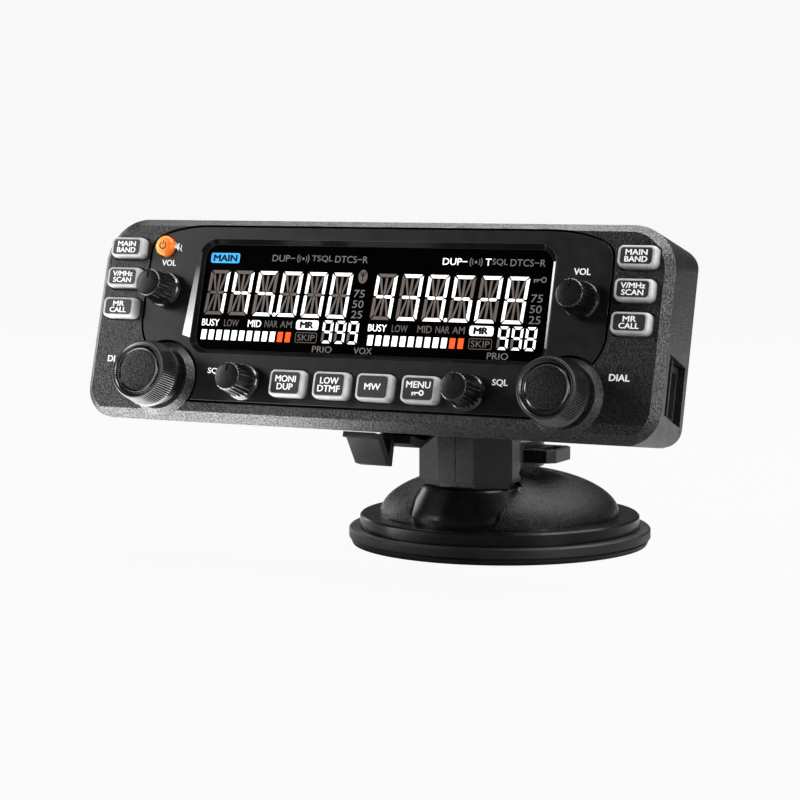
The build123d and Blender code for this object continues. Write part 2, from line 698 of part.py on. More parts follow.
with BuildPart() as light_guide:
    with BuildSketch(front_plane(BOARD_FRONT - 0.2)):
        with Locations((0, WINDOW_HEIGHT)):
            Rectangle(*LCD_SIZE)
        with Locations(*[(x, WINDOW_HEIGHT + LCD_SIZE[1] / 2) for x in (-30, 0, 30)]):
            Rectangle(4, 2, mode=Mode.SUBTRACT)
    extrude(amount=3.4)
light_guide.part.label = "light_guide"
export_step(light_guide.part, "parts/light_guide.step")

with BuildPart() as front_board:
    with BuildSketch(front_plane(BOARD_BACK)):
        with Locations((-5.8, 0)):
            RectangleRounded(126.6, 39.0, 3.0)
        with Locations((62.0, 8.6)):
            Rectangle(16.0, 20.0)
        with Locations(*SCREW_PLACES):
            Circle(1.4, mode=Mode.SUBTRACT)
    extrude(amount=BOARD_BACK - BOARD_FRONT)
    # integrated circuits on the back of the board
    with BuildSketch(rear_plane(BOARD_BACK)):
        for x, height, size in ((20, 2, 12), (-8, 4, 9), (-34, -4, 7)):
            with Locations((x, height)):
                Rectangle(size, size)
    extrude(amount=1.4)
front_board.part.label = "front_board"
export_step(front_board.part, "parts/front_board.step")

with BuildPart() as board_screws:
    for x, height in SCREW_PLACES:
        with BuildSketch(front_plane(BOARD_FRONT - 0.05)):
            with Locations((x, height)):
                Circle(2.1)
        extrude(amount=1.0)
        with BuildSketch(front_plane(BOARD_FRONT + 5.0)):
            with Locations((x, height)):
                Circle(1.15)
        extrude(amount=5.5)
board_screws.part.label = "board_screws"
export_step(board_screws.part, "parts/board_screws.step")

MAT_SHEET_FRONT = BOARD_FRONT - 0.9
MAT_DOME_FRONT = 5.65

with BuildPart() as keypad_mats:
    with BuildSketch(front_plane(BOARD_FRONT - 0.05)):
        for sign in SIDES.values():
            with Locations((sign * 66.0, 9.4)):
                RectangleRounded(6.6, 20.0, 1.5)
        with Locations((0, ROW_KEY_HEIGHT)):
            RectangleRounded(44.0, 6.0, 1.5)
        with Locations((POWER_AT[0], POWER_AT[1])):
            Circle(2.0)
    extrude(amount=0.85)
    with BuildSketch(front_plane(MAT_SHEET_FRONT + 0.1)):
        with Locations(*[(s * 66.2, h) for s in SIDES.values() for h in SIDE_KEY_HEIGHTS.values()]):
            Circle(1.9)
        with Locations(*row_key_places(), POWER_AT):
            Circle(1.9)
    extrude(amount=MAT_SHEET_FRONT + 0.1 - MAT_DOME_FRONT)
keypad_mats.part.label = "keypad_mats"
export_step(keypad_mats.part, "parts/keypad_mats.step")

# ---- head: encoders and potentiometers ----------------------------------------------------
with BuildPart() as dial_encoders:
    for sign in SIDES.values():
        with BuildSketch(front_plane(BOARD_FRONT - 0.05)):
            with Locations((sign * DIAL_AT[0], DIAL_AT[1])):
                Rectangle(ENCODER_SIZE, ENCODER_SIZE - 1.6)
        extrude(amount=4.2)
        with BuildSketch(front_plane(5.0)):
            with Locations((sign * DIAL_AT[0], DIAL_AT[1])):
                Circle(3.5)
        extrude(amount=6.0)
        with BuildSketch(front_plane(7.0)):
            with Locations((sign * DIAL_AT[0], DIAL_AT[1])):
                Circle(2.0 + RUNNING_GAP)
        extrude(amount=12, mode=Mode.SUBTRACT)
dial_encoders.part.label = "dial_encoders"
export_step(dial_encoders.part, "parts/dial_encoders.step")

with BuildPart() as level_pots:
    for x, height in (VOLUME_AT, SQUELCH_AT):
        for sign in SIDES.values():
            with BuildSketch(front_plane(BOARD_FRONT - 0.05)):
                with Locations((sign * x, height)):
                    Rectangle(POT_SIZE, POT_SIZE - 1.2)
            extrude(amount=4.0)
            with BuildSketch(front_plane(5.2)):
                with Locations((sign * x, height)):
                    Circle(2.9)
            extrude(amount=5.4)
            with BuildSketch(front_plane(7.5)):
                with Locations((sign * x, height)):
                    Circle(1.5 + RUNNING_GAP)
            extrude(amount=12, mode=Mode.SUBTRACT)
level_pots.part.label = "level_pots"
export_step(level_pots.part, "parts/level_pots.step")

# ---- head: cable jack in the right-hand recess --------------------------------------------
with BuildPart() as cable_jack:
    with BuildSketch(side_plane(RECESS_FLOOR - 7)):
        with Locations(jack_centre):
            Rectangle(JACK_DEPTHS[1] - JACK_DEPTHS[0], recess_size[1] - 0.4)
    extrude(amount=17.5)
    with BuildSketch(side_plane(RECESS_FLOOR - 5.5)):
        with Locations(jack_centre):
            Rectangle(*PLUG_SIZE)
    extrude(amount=25, mode=Mode.SUBTRACT)
cable_jack.part.label = "cable_jack"
export_step(cable_jack.part, "parts/cable_jack.step")

with BuildPart() as jack_contacts:
    for k in range(6):
        height = jack_centre[1] + (k - 2.5) * 1.27
        with BuildSketch(side_plane(RECESS_FLOOR - 4)):
            with Locations((jack_centre[0] - PLUG_SIZE[0] / 2 + 0.3, height)):
                Rectangle(0.4, 0.4)
        extrude(amount=7)
jack_contacts.part.label = "jack_contacts"
export_step(jack_contacts.part, "parts/jack_contacts.step")


# ---- head: keys ---------------------------------------------------------------------------
KEY_TAPER_HEIGHT = 1.6
keys = {}
for side, sign in SIDES.items():
    for name, height in SIDE_KEY_HEIGHTS.items():
        keys[f"key_{name}_{side}"] = ((sign * SIDE_KEY_X, height), SIDE_KEY_SIZE)
for name, x in ROW_KEYS.items():
    keys[f"key_{name}"] = ((x, ROW_KEY_HEIGHT), ROW_KEY_SIZE)

for name, (at, size) in keys.items():
    with BuildPart() as key:
        with BuildSketch(front_plane(KEY_FLANGE[0])):
            with Locations(at):
                RectangleRounded(*size, 1.4)
        extrude(amount=KEY_FLANGE[0] - KEY_FRONT - KEY_TAPER_HEIGHT)
        with BuildSketch(front_plane(KEY_FRONT + KEY_TAPER_HEIGHT)):
            with Locations(at):
                RectangleRounded(*size, 1.4)
        extrude(amount=KEY_TAPER_HEIGHT, taper=10)
        fillet(key.part.faces().sort_by(Axis((0, 0, 0), -BACK))[-1].edges(), 0.45)
        with BuildSketch(front_plane(KEY_FLANGE[1])):
            with Locations(at):
                RectangleRounded(size[0] + 0.3, size[1] + 0.4, 2.0)
        extrude(amount=KEY_FLANGE[1] - KEY_FLANGE[0])
    key.part.label = name
    export_step(key.part, f"parts/{name}.step")

with BuildPart() as power_button:
    with BuildSketch(front_plane(KEY_FLANGE[0])):
        with Locations(POWER_AT):
            Circle(POWER_RADIUS)
    extrude(amount=KEY_FLANGE[0] + 1.6)
    fillet(power_button.part.faces().sort_by(Axis((0, 0, 0), -BACK))[-1].edges(), 1.1)
    with BuildSketch(front_plane(KEY_FLANGE[1])):
        with Locations(POWER_AT):
            Circle(POWER_RADIUS + 0.7)
    extrude(amount=KEY_FLANGE[1] - KEY_FLANGE[0])
power_button.part.label = "power_button"
export_step(power_button.part, "parts/power_button.step")


# ---- head: knobs and their shafts ---------------------------------------------------------
def knob_plane(at):
    """Plane through a knob's axis, drawn (distance from the axis, distance in front of the face)."""
    return Plane(origin=FACE + RIGHT * at[0] + UP * at[1], x_dir=RIGHT, z_dir=-UP)


def knob_axis(at):
    """A knob's turning axis, pointing out of the panel."""
    return Axis(FACE + RIGHT * at[0] + UP * at[1], -BACK)


for side, sign in SIDES.items():
    dial_at = (sign * DIAL_AT[0], DIAL_AT[1])
    with BuildPart() as dial_knob:
        with BuildSketch(knob_plane(dial_at)):
            with BuildLine():
                Polyline(
                    (2.05, 1.9),
                    (7.2, 1.9),
                    (7.4, 5.2),
                    (DIAL_FLARE_RADIUS + 0.15, 5.6),
                    (DIAL_FLARE_RADIUS, 6.3),
                    (DIAL_RADIUS, -DIAL_FRONT - 0.4),
                    (DIAL_RADIUS - 0.4, -DIAL_FRONT),
                    (5.6, -DIAL_FRONT),
                    (5.3, -DIAL_FRONT - 0.7),
                    (0, -DIAL_FRONT - 0.5),
                    (0, 9.2),
                    (2.05, 9.2),
                    close=True,
                )
            make_face()
        revolve(axis=knob_axis(dial_at))
    dial_knob.part.label = f"dial_knob_{side}"
    export_step(dial_knob.part, f"parts/dial_knob_{side}.step")

    with BuildPart() as dial_shaft:
        with BuildSketch(front_plane(6.8)):
            with Locations(dial_at):
                Circle(2.0)
        extrude(amount=15.8)
    dial_shaft.part.label = f"dial_shaft_{side}"
    export_step(dial_shaft.part, f"parts/dial_shaft_{side}.step")

    for use, place in (("volume", VOLUME_AT), ("squelch", SQUELCH_AT)):
        knob_at = (sign * place[0], place[1])
        with BuildPart() as small_knob:
            with BuildSketch(knob_plane(knob_at)):
                with BuildLine():
                    Polyline(
                        (1.55, 0.8),
                        (SMALL_KNOB_SKIRT, 0.8),
                        (SMALL_KNOB_SKIRT, 1.5),
                        (SMALL_KNOB_SKIRT - 0.3, 2.0),
                        (SMALL_KNOB_CAP, -SMALL_KNOB_FRONT - 0.6),
                        (SMALL_KNOB_CAP - 0.5, -SMALL_KNOB_FRONT),
                        (0, -SMALL_KNOB_FRONT),
                        (0, 7.0),
                        (1.55, 7.0),
                        close=True,
                    )
                make_face()
            revolve(axis=knob_axis(knob_at))
            # pointer notch at twelve o'clock
            with BuildSketch(front_plane(SMALL_KNOB_FRONT + 0.4)):
                with Locations((knob_at[0], knob_at[1] + SMALL_KNOB_CAP - 0.6)):
                    Rectangle(0.6, 2.6)
            extrude(amount=2, mode=Mode.SUBTRACT)
        small_knob.part.label = f"{use}_knob_{side}"
        export_step(small_knob.part, f"parts/{use}_knob_{side}.step")

        with BuildPart() as small_shaft:
            with BuildSketch(front_plane(7.3)):
                with Locations(knob_at):
                    Circle(1.5)
            extrude(amount=14.1)
        small_shaft.part.label = f"{use}_shaft_{side}"
        export_step(small_shaft.part, f"parts/{use}_shaft_{side}.step")
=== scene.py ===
import math
import bmesh
import bpy
from mathutils import Matrix, Vector


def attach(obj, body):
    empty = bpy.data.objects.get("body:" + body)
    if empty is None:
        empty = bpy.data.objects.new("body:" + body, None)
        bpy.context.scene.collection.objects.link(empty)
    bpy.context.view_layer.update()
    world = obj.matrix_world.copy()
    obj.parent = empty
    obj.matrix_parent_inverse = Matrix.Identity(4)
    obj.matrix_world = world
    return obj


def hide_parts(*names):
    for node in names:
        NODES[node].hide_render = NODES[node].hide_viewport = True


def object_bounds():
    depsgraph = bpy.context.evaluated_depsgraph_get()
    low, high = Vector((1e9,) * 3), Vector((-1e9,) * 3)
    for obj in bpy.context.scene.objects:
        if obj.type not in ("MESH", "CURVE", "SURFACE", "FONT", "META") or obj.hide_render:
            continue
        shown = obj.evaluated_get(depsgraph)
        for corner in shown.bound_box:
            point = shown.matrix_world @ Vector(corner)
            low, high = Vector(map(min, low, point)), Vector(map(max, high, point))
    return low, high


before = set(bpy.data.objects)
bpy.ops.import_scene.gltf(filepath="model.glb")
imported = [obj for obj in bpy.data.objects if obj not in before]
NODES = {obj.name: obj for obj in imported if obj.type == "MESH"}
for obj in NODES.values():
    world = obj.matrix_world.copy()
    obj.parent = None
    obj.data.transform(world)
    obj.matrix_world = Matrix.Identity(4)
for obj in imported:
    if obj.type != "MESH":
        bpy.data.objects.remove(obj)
CAD_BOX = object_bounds()
MM = 0.001

# ---- the head's own frame: x to the right, depth back from its front face, height up --------
HEAD_TILT = math.radians(15.4)
FACE = Vector((-11.0, -53.9, 58.2))
SIDEWAYS = Vector((1.0, 0.0, 0.0))
BACK = Vector((0.0, math.cos(HEAD_TILT), -math.sin(HEAD_TILT)))
UP = Vector((0.0, math.sin(HEAD_TILT), math.cos(HEAD_TILT)))
HEAD = Matrix.Scale(MM, 4) @ Matrix((
    (1.0, 0.0, 0.0, FACE.x),
    (0.0, BACK.y, UP.y, FACE.y),
    (0.0, BACK.z, UP.z, FACE.z),
    (0.0, 0.0, 0.0, 1.0),
))

# places on the face, in mm
LENS_DEPTH = 1.25
KEY_DEPTH = -2.4
PRINT_HEIGHT = 0.03
INK_HEIGHT = 0.06
SIDE_KEYS = {"main": 17.0, "scan": 9.45, "call": 1.9}
SIDE_KEY_X = 66.9
ROW_KEYS = {"monitor": -17.4, "low": -5.7, "memory": 5.7, "menu": 17.4}
ROW_KEY_HEIGHT = -15.1
DIAL_AT = (52.8, -15.1)
VOLUME_AT = (54.8, 6.7)
SQUELCH_AT = (29.4, -15.3)
POWER_AT = (-57.0, 17.8)
POWER_RADIUS = 2.4
WINDOW_HEIGHT = 5.75
WINDOW_HALF = (46.98, 14.13)
WINDOW_CORNER = 4.5
GLINT_FOOT = -4.6
GLINT_TOP = 16.5

# the smooth pedestal in the grained dome: a drum that narrows as a cone above its flare
PEDESTAL_AT = (0.0, -16.5)
PEDESTAL_RADIUS = 16.2
PEDESTAL_FLARE_Z = 9.8
PEDESTAL_NARROWING = 0.55
DOME_FOOT_Z = 7.5


def placed(name, data):
    """A new object in the scene."""
    obj = bpy.data.objects.new(name, data)
    bpy.context.scene.collection.objects.link(obj)
    return obj


# ---- camera ---------------------------------------------------------------------------------
AZIMUTH = math.radians(26.61)
ELEVATION = math.radians(5.685)
DISTANCE = 585.84
AIM_RIGHT = 25.36
AIM_UP = 35.88
forward = Vector((
    -math.sin(AZIMUTH) * math.cos(ELEVATION),
    math.cos(AZIMUTH) * math.cos(ELEVATION),
    -math.sin(ELEVATION),
))
right = Vector((math.cos(AZIMUTH), math.sin(AZIMUTH), 0.0))
above = right.cross(forward)
camera = placed("camera", bpy.data.cameras.new("camera"))
camera.data.lens = 103.4
camera.data.sensor_width = 36.0
camera.data.clip_start = 0.05
camera.data.clip_end = 50.0
camera.location = (-AIM_RIGHT * right + AIM_UP * above - DISTANCE * forward) * MM
camera.rotation_mode = "QUATERNION"
camera.rotation_quaternion = forward.to_track_quat("-Z", "Y")
bpy.context.scene.camera = camera


# ---- materials ------------------------------------------------------------------------------
BEVEL_SAMPLES = 4
# an edge shows where the rounded and the true normal's cosine falls between these
EDGE_STARTS = 0.995
EDGE_ENDS = 0.86
EDGE_POLISH = -0.06
COAT_ROUGHNESS = 0.12
POLISHED_ROUGHNESS = 0.12
POLISHED_SPECULAR = 0.02
SMOOTH_GRAIN = 0.004


class Nodes:
    """A material's node tree, built a node at a time."""

    def __init__(self, name):
        self.material = bpy.data.materials.new(name)
        self.material.use_nodes = True
        self.tree = self.material.node_tree
        self.tree.nodes.clear()
        self.out = self.add("ShaderNodeOutputMaterial")
        self.shader = self.add("ShaderNodeBsdfPrincipled")
        self.link(self.shader, "BSDF", self.out, "Surface")
        self.place = self.add("ShaderNodeTexCoord")

    def add(self, kind, **values):
        node = self.tree.nodes.new(kind)
        for name, value in values.items():
            if hasattr(node, name):
                setattr(node, name, value)
            else:
                node.inputs[name].default_value = value
        return node

    def link(self, a, out, b, into):
        self.tree.links.new(a.outputs[out], b.inputs[into])

    def maths(self, operation, *values):
        """A maths node. Each value is a number, a node's first output or a (node, output) pair."""
        node = self.add("ShaderNodeMath", operation=operation)
        for socket, value in enumerate(values):
            if isinstance(value, (int, float)):
                node.inputs[socket].default_value = value
            elif isinstance(value, tuple):
                self.link(*value, node, socket)
            else:
                self.link(value, 0, node, socket)
        return node

    def along(self, direction, origin):
        """How far a place is from the origin in a direction, in metres: a (node, output) pair."""
        away = self.add("ShaderNodeVectorMath", operation="SUBTRACT")
        self.link(self.place, "Object", away, 0)
        away.inputs[1].default_value = origin
        node = self.add("ShaderNodeVectorMath", operation="DOT_PRODUCT")
        self.link(away, "Vector", node, 0)
        node.inputs[1].default_value = direction
        return node, "Value"

    def length(self, vector):
        """The length of a node's vector: a (node, output) pair."""
        node = self.add("ShaderNodeVectorMath", operation="LENGTH")
        self.link(vector, "Vector", node, 0)
        return node, "Value"

    def multiplied(self, colour, out, other, other_out, amount):
        """A colour darkened by a second colour or a value, on output 2."""
        node = self.add("ShaderNodeMix", data_type="RGBA", blend_type="MULTIPLY")
        node.inputs[0].default_value = amount
        self.link(colour, out, node, 6)
        self.link(other, other_out, node, 7)
        return node

    def noise(self, size, detail, rough=0.5, stretch=None):
        """Noise with features about size mm across, from object places."""
        node = self.add("ShaderNodeTexNoise")
        node.inputs["Scale"].default_value = 1.0 / (size * MM)
        node.inputs["Detail"].default_value = detail
        node.inputs["Roughness"].default_value = rough
        if stretch is None:
            self.link(self.place, "Object", node, "Vector")
        else:
            mapping = self.add("ShaderNodeMapping")
            mapping.inputs["Scale"].default_value = stretch
            self.link(self.place, "Object", mapping, "Vector")
            self.link(mapping, "Vector", node, "Vector")
        return node

    def ramp(self, source, out, low, high, at=(0.35, 0.65)):
        """Turns a value into one between two greys or two colours."""
        node = self.add("ShaderNodeValToRGB")
        for element, spot, value in zip(node.color_ramp.elements, at, (low, high)):
            element.position = spot
            element.color = (*value, 1.0) if isinstance(value, tuple) else (value, value, value, 1.0)
        self.link(source, out, node, "Fac")
        return node

    def range(self, source, out, low, high, start=0.3, end=0.7):
        """Stretches a value from start to end, as most noise is, over low to high."""
        node = self.add("ShaderNodeMapRange")
        node.inputs["From Min"].default_value = start
        node.inputs["From Max"].default_value = end
        node.inputs["To Min"].default_value = low
        node.inputs["To Max"].default_value = high
        self.link(source, out, node, "Value")
        return node

    def bump(self, height, depth, under=None):
        """Raises the surface by a height, depth mm at most, over a rounded normal."""
        node = self.add("ShaderNodeBump")
        node.inputs["Strength"].default_value = 1.0
        node.inputs["Distance"].default_value = depth * MM
        self.link(height, 0, node, "Height")
        if under:
            self.link(under, "Normal", node, "Normal")
        self.link(node, "Normal", self.shader, "Normal")


def scaled(colour, factor):
    return tuple(c * factor for c in colour)


def rounded_normal(n, radius):
    """The surface's normal with its edges rounded to a radius in mm."""
    bevel = n.add("ShaderNodeBevel")
    bevel.samples = BEVEL_SAMPLES
    bevel.inputs["Radius"].default_value = radius * MM
    return bevel


def edge_mask(n, bevel):
    """1 along the sharp edges, where the rounded normal leaves the true one."""
    geometry = n.add("ShaderNodeNewGeometry")
    dot = n.add("ShaderNodeVectorMath", operation="DOT_PRODUCT")
    n.link(bevel, "Normal", dot, 0)
    n.link(geometry, "Normal", dot, 1)
    return n.range(dot, "Value", 0.0, 1.0, EDGE_STARTS, EDGE_ENDS)


def plastic(name, base, rough, *, wear_and_highlight, grain=0.0, grain_size=0.35, spec=0.5, edge=0.12, coat=0.0,
            spread=0.05, mask=None, gloss_mask=None, sparkle=0.0):
    """Moulded plastic with grain of grain_size mm, grain mm deep, held to where mask is 1.
    Its edges of radius edge mm are paler by worn, partly edge wear and partly a painted edge highlight.
    It is polished and hardly reflects where gloss_mask is 1, and sparkle varies the grain's shine."""
    n = Nodes(name)
    n.shader.inputs["Specular IOR Level"].default_value = spec
    n.shader.inputs["Coat Weight"].default_value = coat
    n.shader.inputs["Coat Roughness"].default_value = COAT_ROUGHNESS
    fine = n.noise(grain_size, 2.0, 0.6)
    bevel = rounded_normal(n, edge)
    edges = edge_mask(n, bevel)
    body = n.ramp(n.noise(9.0, 3.0), "Fac", scaled(base, 0.75), scaled(base, 1.25))
    speckle = n.ramp(fine, "Fac", 0.55, 1.45)
    fleck = n.multiplied(body, "Color", speckle, "Color", 0.55 if grain else 0.25)
    # paler edges: partly wear, partly a painted highlight along the edges
    rubbed_and_highlit = n.add("ShaderNodeMix", data_type="RGBA")
    n.link(edges, "Result", rubbed_and_highlit, 0)
    n.link(fleck, 2, rubbed_and_highlit, 6)
    rubbed_and_highlit.inputs[7].default_value = tuple(c + wear_and_highlight for c in base) + (1.0,)
    n.link(rubbed_and_highlit, 2, n.shader, "Base Color")
    gloss = n.range(n.noise(3.0, 4.0, 0.6), "Fac", rough - spread, rough + spread)
    gloss = n.maths("MULTIPLY_ADD", edges, EDGE_POLISH, gloss)
    if gloss_mask:
        where = gloss_mask(n)
        gloss = n.maths("MULTIPLY_ADD", where, POLISHED_ROUGHNESS - rough, gloss)
        glint = n.maths("MULTIPLY_ADD", where, POLISHED_SPECULAR - spec, spec)
        n.link(glint, "Value", n.shader, "Specular IOR Level")
    n.link(gloss, "Value", n.shader, "Roughness")
    if sparkle:
        pits = n.noise(grain_size * 0.8, 1.0, 0.5)
        facets = n.range(pits, "Fac", spec - sparkle, spec + sparkle)
        n.link(facets, "Result", n.shader, "Specular IOR Level")
    height = n.maths("MULTIPLY", fine, mask(n)) if mask else fine
    n.bump(height, grain or SMOOTH_GRAIN, bevel)
    return n.material


def rubber(name, base, rough):
    """Soft rubber: a fine matt skin, paler and darker in broad patches."""
    n = Nodes(name)
    broad = n.noise(12.0, 4.0, 0.6)
    body = n.ramp(broad, "Fac", scaled(base, 0.7), scaled(base, 1.4))
    n.link(body, "Color", n.shader, "Base Color")
    n.link(n.range(broad, "Fac", rough - 0.08, rough + 0.08), "Result", n.shader, "Roughness")
    n.shader.inputs["Specular IOR Level"].default_value = 0.3
    n.bump(n.noise(0.5, 3.0, 0.6), 0.012, rounded_normal(n, 0.3))
    return n.material


def metal(name, base, rough, brushed=False):
    """Plated or bare metal with fine machining marks."""
    n = Nodes(name)
    n.shader.inputs["Metallic"].default_value = 1.0
    marks = n.noise(0.8, 3.0, 0.6, (1.0, 1.0, 6.0) if brushed else None)
    n.link(n.ramp(marks, "Fac", scaled(base, 0.75), base), "Color", n.shader, "Base Color")
    n.link(n.range(marks, "Fac", rough - 0.08, rough + 0.1), "Result", n.shader, "Roughness")
    n.bump(marks, 0.006, rounded_normal(n, 0.08))
    return n.material


def printed(name, colour, glow, rough, spread=0.06):
    """Ink or a lit display segment, slightly uneven as print and backlight are."""
    n = Nodes(name)
    uneven = n.noise(1.4, 3.0, 0.6)
    body = n.ramp(uneven, "Fac", scaled(colour, 1.0 - spread), colour)
    n.link(body, "Color", n.shader, "Base Color")
    n.link(n.range(uneven, "Fac", rough - 0.06, rough + 0.06), "Result", n.shader, "Roughness")
    n.shader.inputs["Specular IOR Level"].default_value = 0.1
    if glow:
        n.link(body, "Color", n.shader, "Emission Color")
        n.shader.inputs["Emission Strength"].default_value = glow
    n.bump(uneven, 0.003)
    return n.material


def translucent_key(name):
    """Milky silicone key skirt, lit a little from within, with painted shade darkening it towards the panel."""
    n = Nodes(name)
    cloud = n.noise(2.2, 4.0, 0.6)
    milk = n.ramp(cloud, "Fac", (0.42, 0.42, 0.425), (0.54, 0.54, 0.545))
    # painted shade: the skirt grows darker with depth towards the panel
    depth = n.along(BACK, HEAD.translation)
    painted_shade = n.range(*depth, 1.0, 0.4, KEY_DEPTH * 0.8 * MM, 0.0)
    body = n.multiplied(milk, "Color", painted_shade, "Result", 1.0)
    n.link(body, 2, n.shader, "Base Color")
    n.link(n.range(cloud, "Fac", 0.3, 0.42), "Result", n.shader, "Roughness")
    n.shader.inputs["Subsurface Weight"].default_value = 0.12
    n.shader.inputs["Subsurface Scale"].default_value = 0.6 * MM
    n.shader.inputs["Emission Strength"].default_value = 0.05
    n.link(body, 2, n.shader, "Emission Color")
    n.bump(n.noise(0.5, 3.0), 0.008)
    return n.material


def amber_dome(name):
    """The power button: orange plastic with painted shade, darker and redder towards its right, and a painted glow.
    """
    n = Nodes(name)
    middle = HEAD @ Vector((POWER_AT[0], 0.0, POWER_AT[1]))
    # painted shade: light orange at the left side, dark red at the right
    across = n.along(SIDEWAYS, middle)
    shade = n.range(*across, 0.0, 1.0, -POWER_RADIUS * MM, POWER_RADIUS * MM)
    body = n.ramp(shade, "Result", (0.95, 0.42, 0.09), (0.86, 0.16, 0.01), (0.15, 0.9))
    cloud = n.noise(1.2, 3.0)
    mottled = n.multiplied(body, "Color", n.ramp(cloud, "Fac", 0.8, 1.0), "Color", 0.3)
    n.link(mottled, 2, n.shader, "Base Color")
    n.link(n.range(cloud, "Fac", 0.22, 0.34), "Result", n.shader, "Roughness")
    # painted glow: the button gives off a little of its own colour
    n.shader.inputs["Emission Strength"].default_value = 0.25
    n.link(mottled, 2, n.shader, "Emission Color")
    n.bump(cloud, 0.004)
    return n.material


def inside_window(n):
    """1 on the polished slopes round the display window and 0 on the rest of the panel."""
    middle = HEAD @ Vector((0.0, 0.0, WINDOW_HEIGHT))
    beyond = n.add("ShaderNodeCombineXYZ")
    for direction, half, axis in ((SIDEWAYS, WINDOW_HALF[0], "X"), (UP, WINDOW_HALF[1], "Y")):
        size = n.maths("ABSOLUTE", n.along(direction, middle))
        n.link(n.maths("SUBTRACT", size, (half - WINDOW_CORNER) * MM), "Value", beyond, axis)
    held = n.add("ShaderNodeVectorMath", operation="MAXIMUM")
    n.link(beyond, "Vector", held, 0)
    return n.maths("LESS_THAN", n.length(held), WINDOW_CORNER * MM)


def outside_pedestal(n):
    """1 on the grained dome and 0 on the smooth pedestal and the flat ring below."""
    foot = Vector((*PEDESTAL_AT, PEDESTAL_FLARE_Z)) * MM
    rise = n.along((0.0, 0.0, 1.0), foot)
    far = n.add("ShaderNodeCombineXYZ")
    n.link(*n.along(SIDEWAYS, foot), far, "X")
    n.link(*n.along((0.0, 1.0, 0.0), foot), far, "Y")
    flared = n.maths("MULTIPLY_ADD", n.maths("MAXIMUM", rise, 0.0), PEDESTAL_NARROWING, n.length(far))
    outside = n.maths("GREATER_THAN", flared, PEDESTAL_RADIUS * MM)
    high = n.maths("GREATER_THAN", rise, (DOME_FOOT_Z - PEDESTAL_FLARE_Z) * MM)
    return n.maths("MULTIPLY", outside, high)


def painted_window_glint(name, low, high):
    """A painted highlight on the polished slope beside the display: a glowing tone, low at its foot and high at its
    top.
    """
    n = Nodes(name)
    height = n.along(UP, HEAD @ Vector((0.0, 0.0, GLINT_FOOT)))
    rise = n.range(*height, 0.0, 1.0, 0.0, (GLINT_TOP - GLINT_FOOT) * MM)
    fade = n.ramp(rise, "Result", low, high, (0.05, 0.85))
    streak = n.noise(0.7, 3.0, 0.6)
    mixed = n.multiplied(fade, "Color", n.ramp(streak, "Fac", 0.75, 1.0), "Color", 0.4)
    n.link(mixed, 2, n.shader, "Base Color")
    n.link(mixed, 2, n.shader, "Emission Color")
    n.shader.inputs["Emission Strength"].default_value = 0.7
    n.link(n.range(streak, "Fac", 0.12, 0.22), "Result", n.shader, "Roughness")
    n.bump(streak, 0.004)
    return n.material


bezel_plastic = plastic("bezel_plastic", (0.006, 0.006, 0.0065), 0.38, grain=0.16, grain_size=0.46, edge=0.08,
                        wear_and_highlight=0.01, sparkle=0.34)
cover_plastic = plastic("cover_plastic", (0.010, 0.010, 0.0105), 0.45, grain=0.1, grain_size=0.55, wear_and_highlight=0.02,
                        sparkle=0.3)
panel_plastic = plastic("panel_plastic", (0.006, 0.006, 0.0065), 0.34, spec=0.45, edge=0.2, wear_and_highlight=0.04,
                        gloss_mask=inside_window)
lens_black = plastic("lens_black", (0.0008, 0.0008, 0.0009), 0.16, spec=0.03, edge=0.1, wear_and_highlight=0.0, spread=0.03)
stand_grained = plastic("stand_grained", (0.004, 0.004, 0.0043), 0.26, grain=0.26, grain_size=0.42, spec=0.17,
                        wear_and_highlight=0.008, mask=outside_pedestal)
stand_smooth = plastic("stand_smooth", (0.006, 0.006, 0.0065), 0.26, spec=0.26, edge=0.18, wear_and_highlight=0.015)
latch_plastic = plastic("latch_plastic", (0.008, 0.008, 0.0085), 0.38, edge=0.15, wear_and_highlight=0.02)
knob_side = plastic("knob_side", (0.005, 0.005, 0.0053), 0.3, edge=0.05, wear_and_highlight=0.015, spread=0.06)
knob_gloss = plastic("knob_gloss", (0.003, 0.003, 0.0033), 0.2, edge=0.06, wear_and_highlight=0.015, coat=0.3, spread=0.05)
knob_face = plastic("knob_face", (0.004, 0.004, 0.0045), 0.36, grain=0.1, grain_size=0.4, spec=0.3, edge=0.1,
                    wear_and_highlight=0.01, sparkle=0.25)
cap_face = plastic("cap_face", (0.004, 0.004, 0.0043), 0.34, grain=0.03, grain_size=0.35, spec=0.32, edge=0.1,
                   wear_and_highlight=0.02)
inlay_dark = plastic("inlay_dark", (0.018, 0.018, 0.0195), 0.42, grain=0.02, grain_size=0.35, edge=0.06, wear_and_highlight=0.03)
pad_rubber = rubber("pad_rubber", (0.006, 0.006, 0.0065), 0.46)
mat_rubber = rubber("mat_rubber", (0.05, 0.05, 0.052), 0.6)
screw_steel = metal("screw_steel", (0.62, 0.62, 0.63), 0.3, True)
black_steel = metal("black_steel", (0.09, 0.09, 0.095), 0.36)
contact_gold = metal("contact_gold", (0.83, 0.6, 0.25), 0.24)
board_green = plastic("board_green", (0.012, 0.05, 0.025), 0.4, edge=0.05, wear_and_highlight=0.03)
component_black = plastic("component_black", (0.02, 0.02, 0.021), 0.45, edge=0.08, wear_and_highlight=0.03)
glass_dark = plastic("glass_dark", (0.004, 0.005, 0.006), 0.1, edge=0.04, wear_and_highlight=0.02, spread=0.03)
guide_white = printed("guide_white", (0.72, 0.74, 0.74), 0.0, 0.3)
key_grey = translucent_key("key_grey")
power_orange = amber_dome("power_orange")
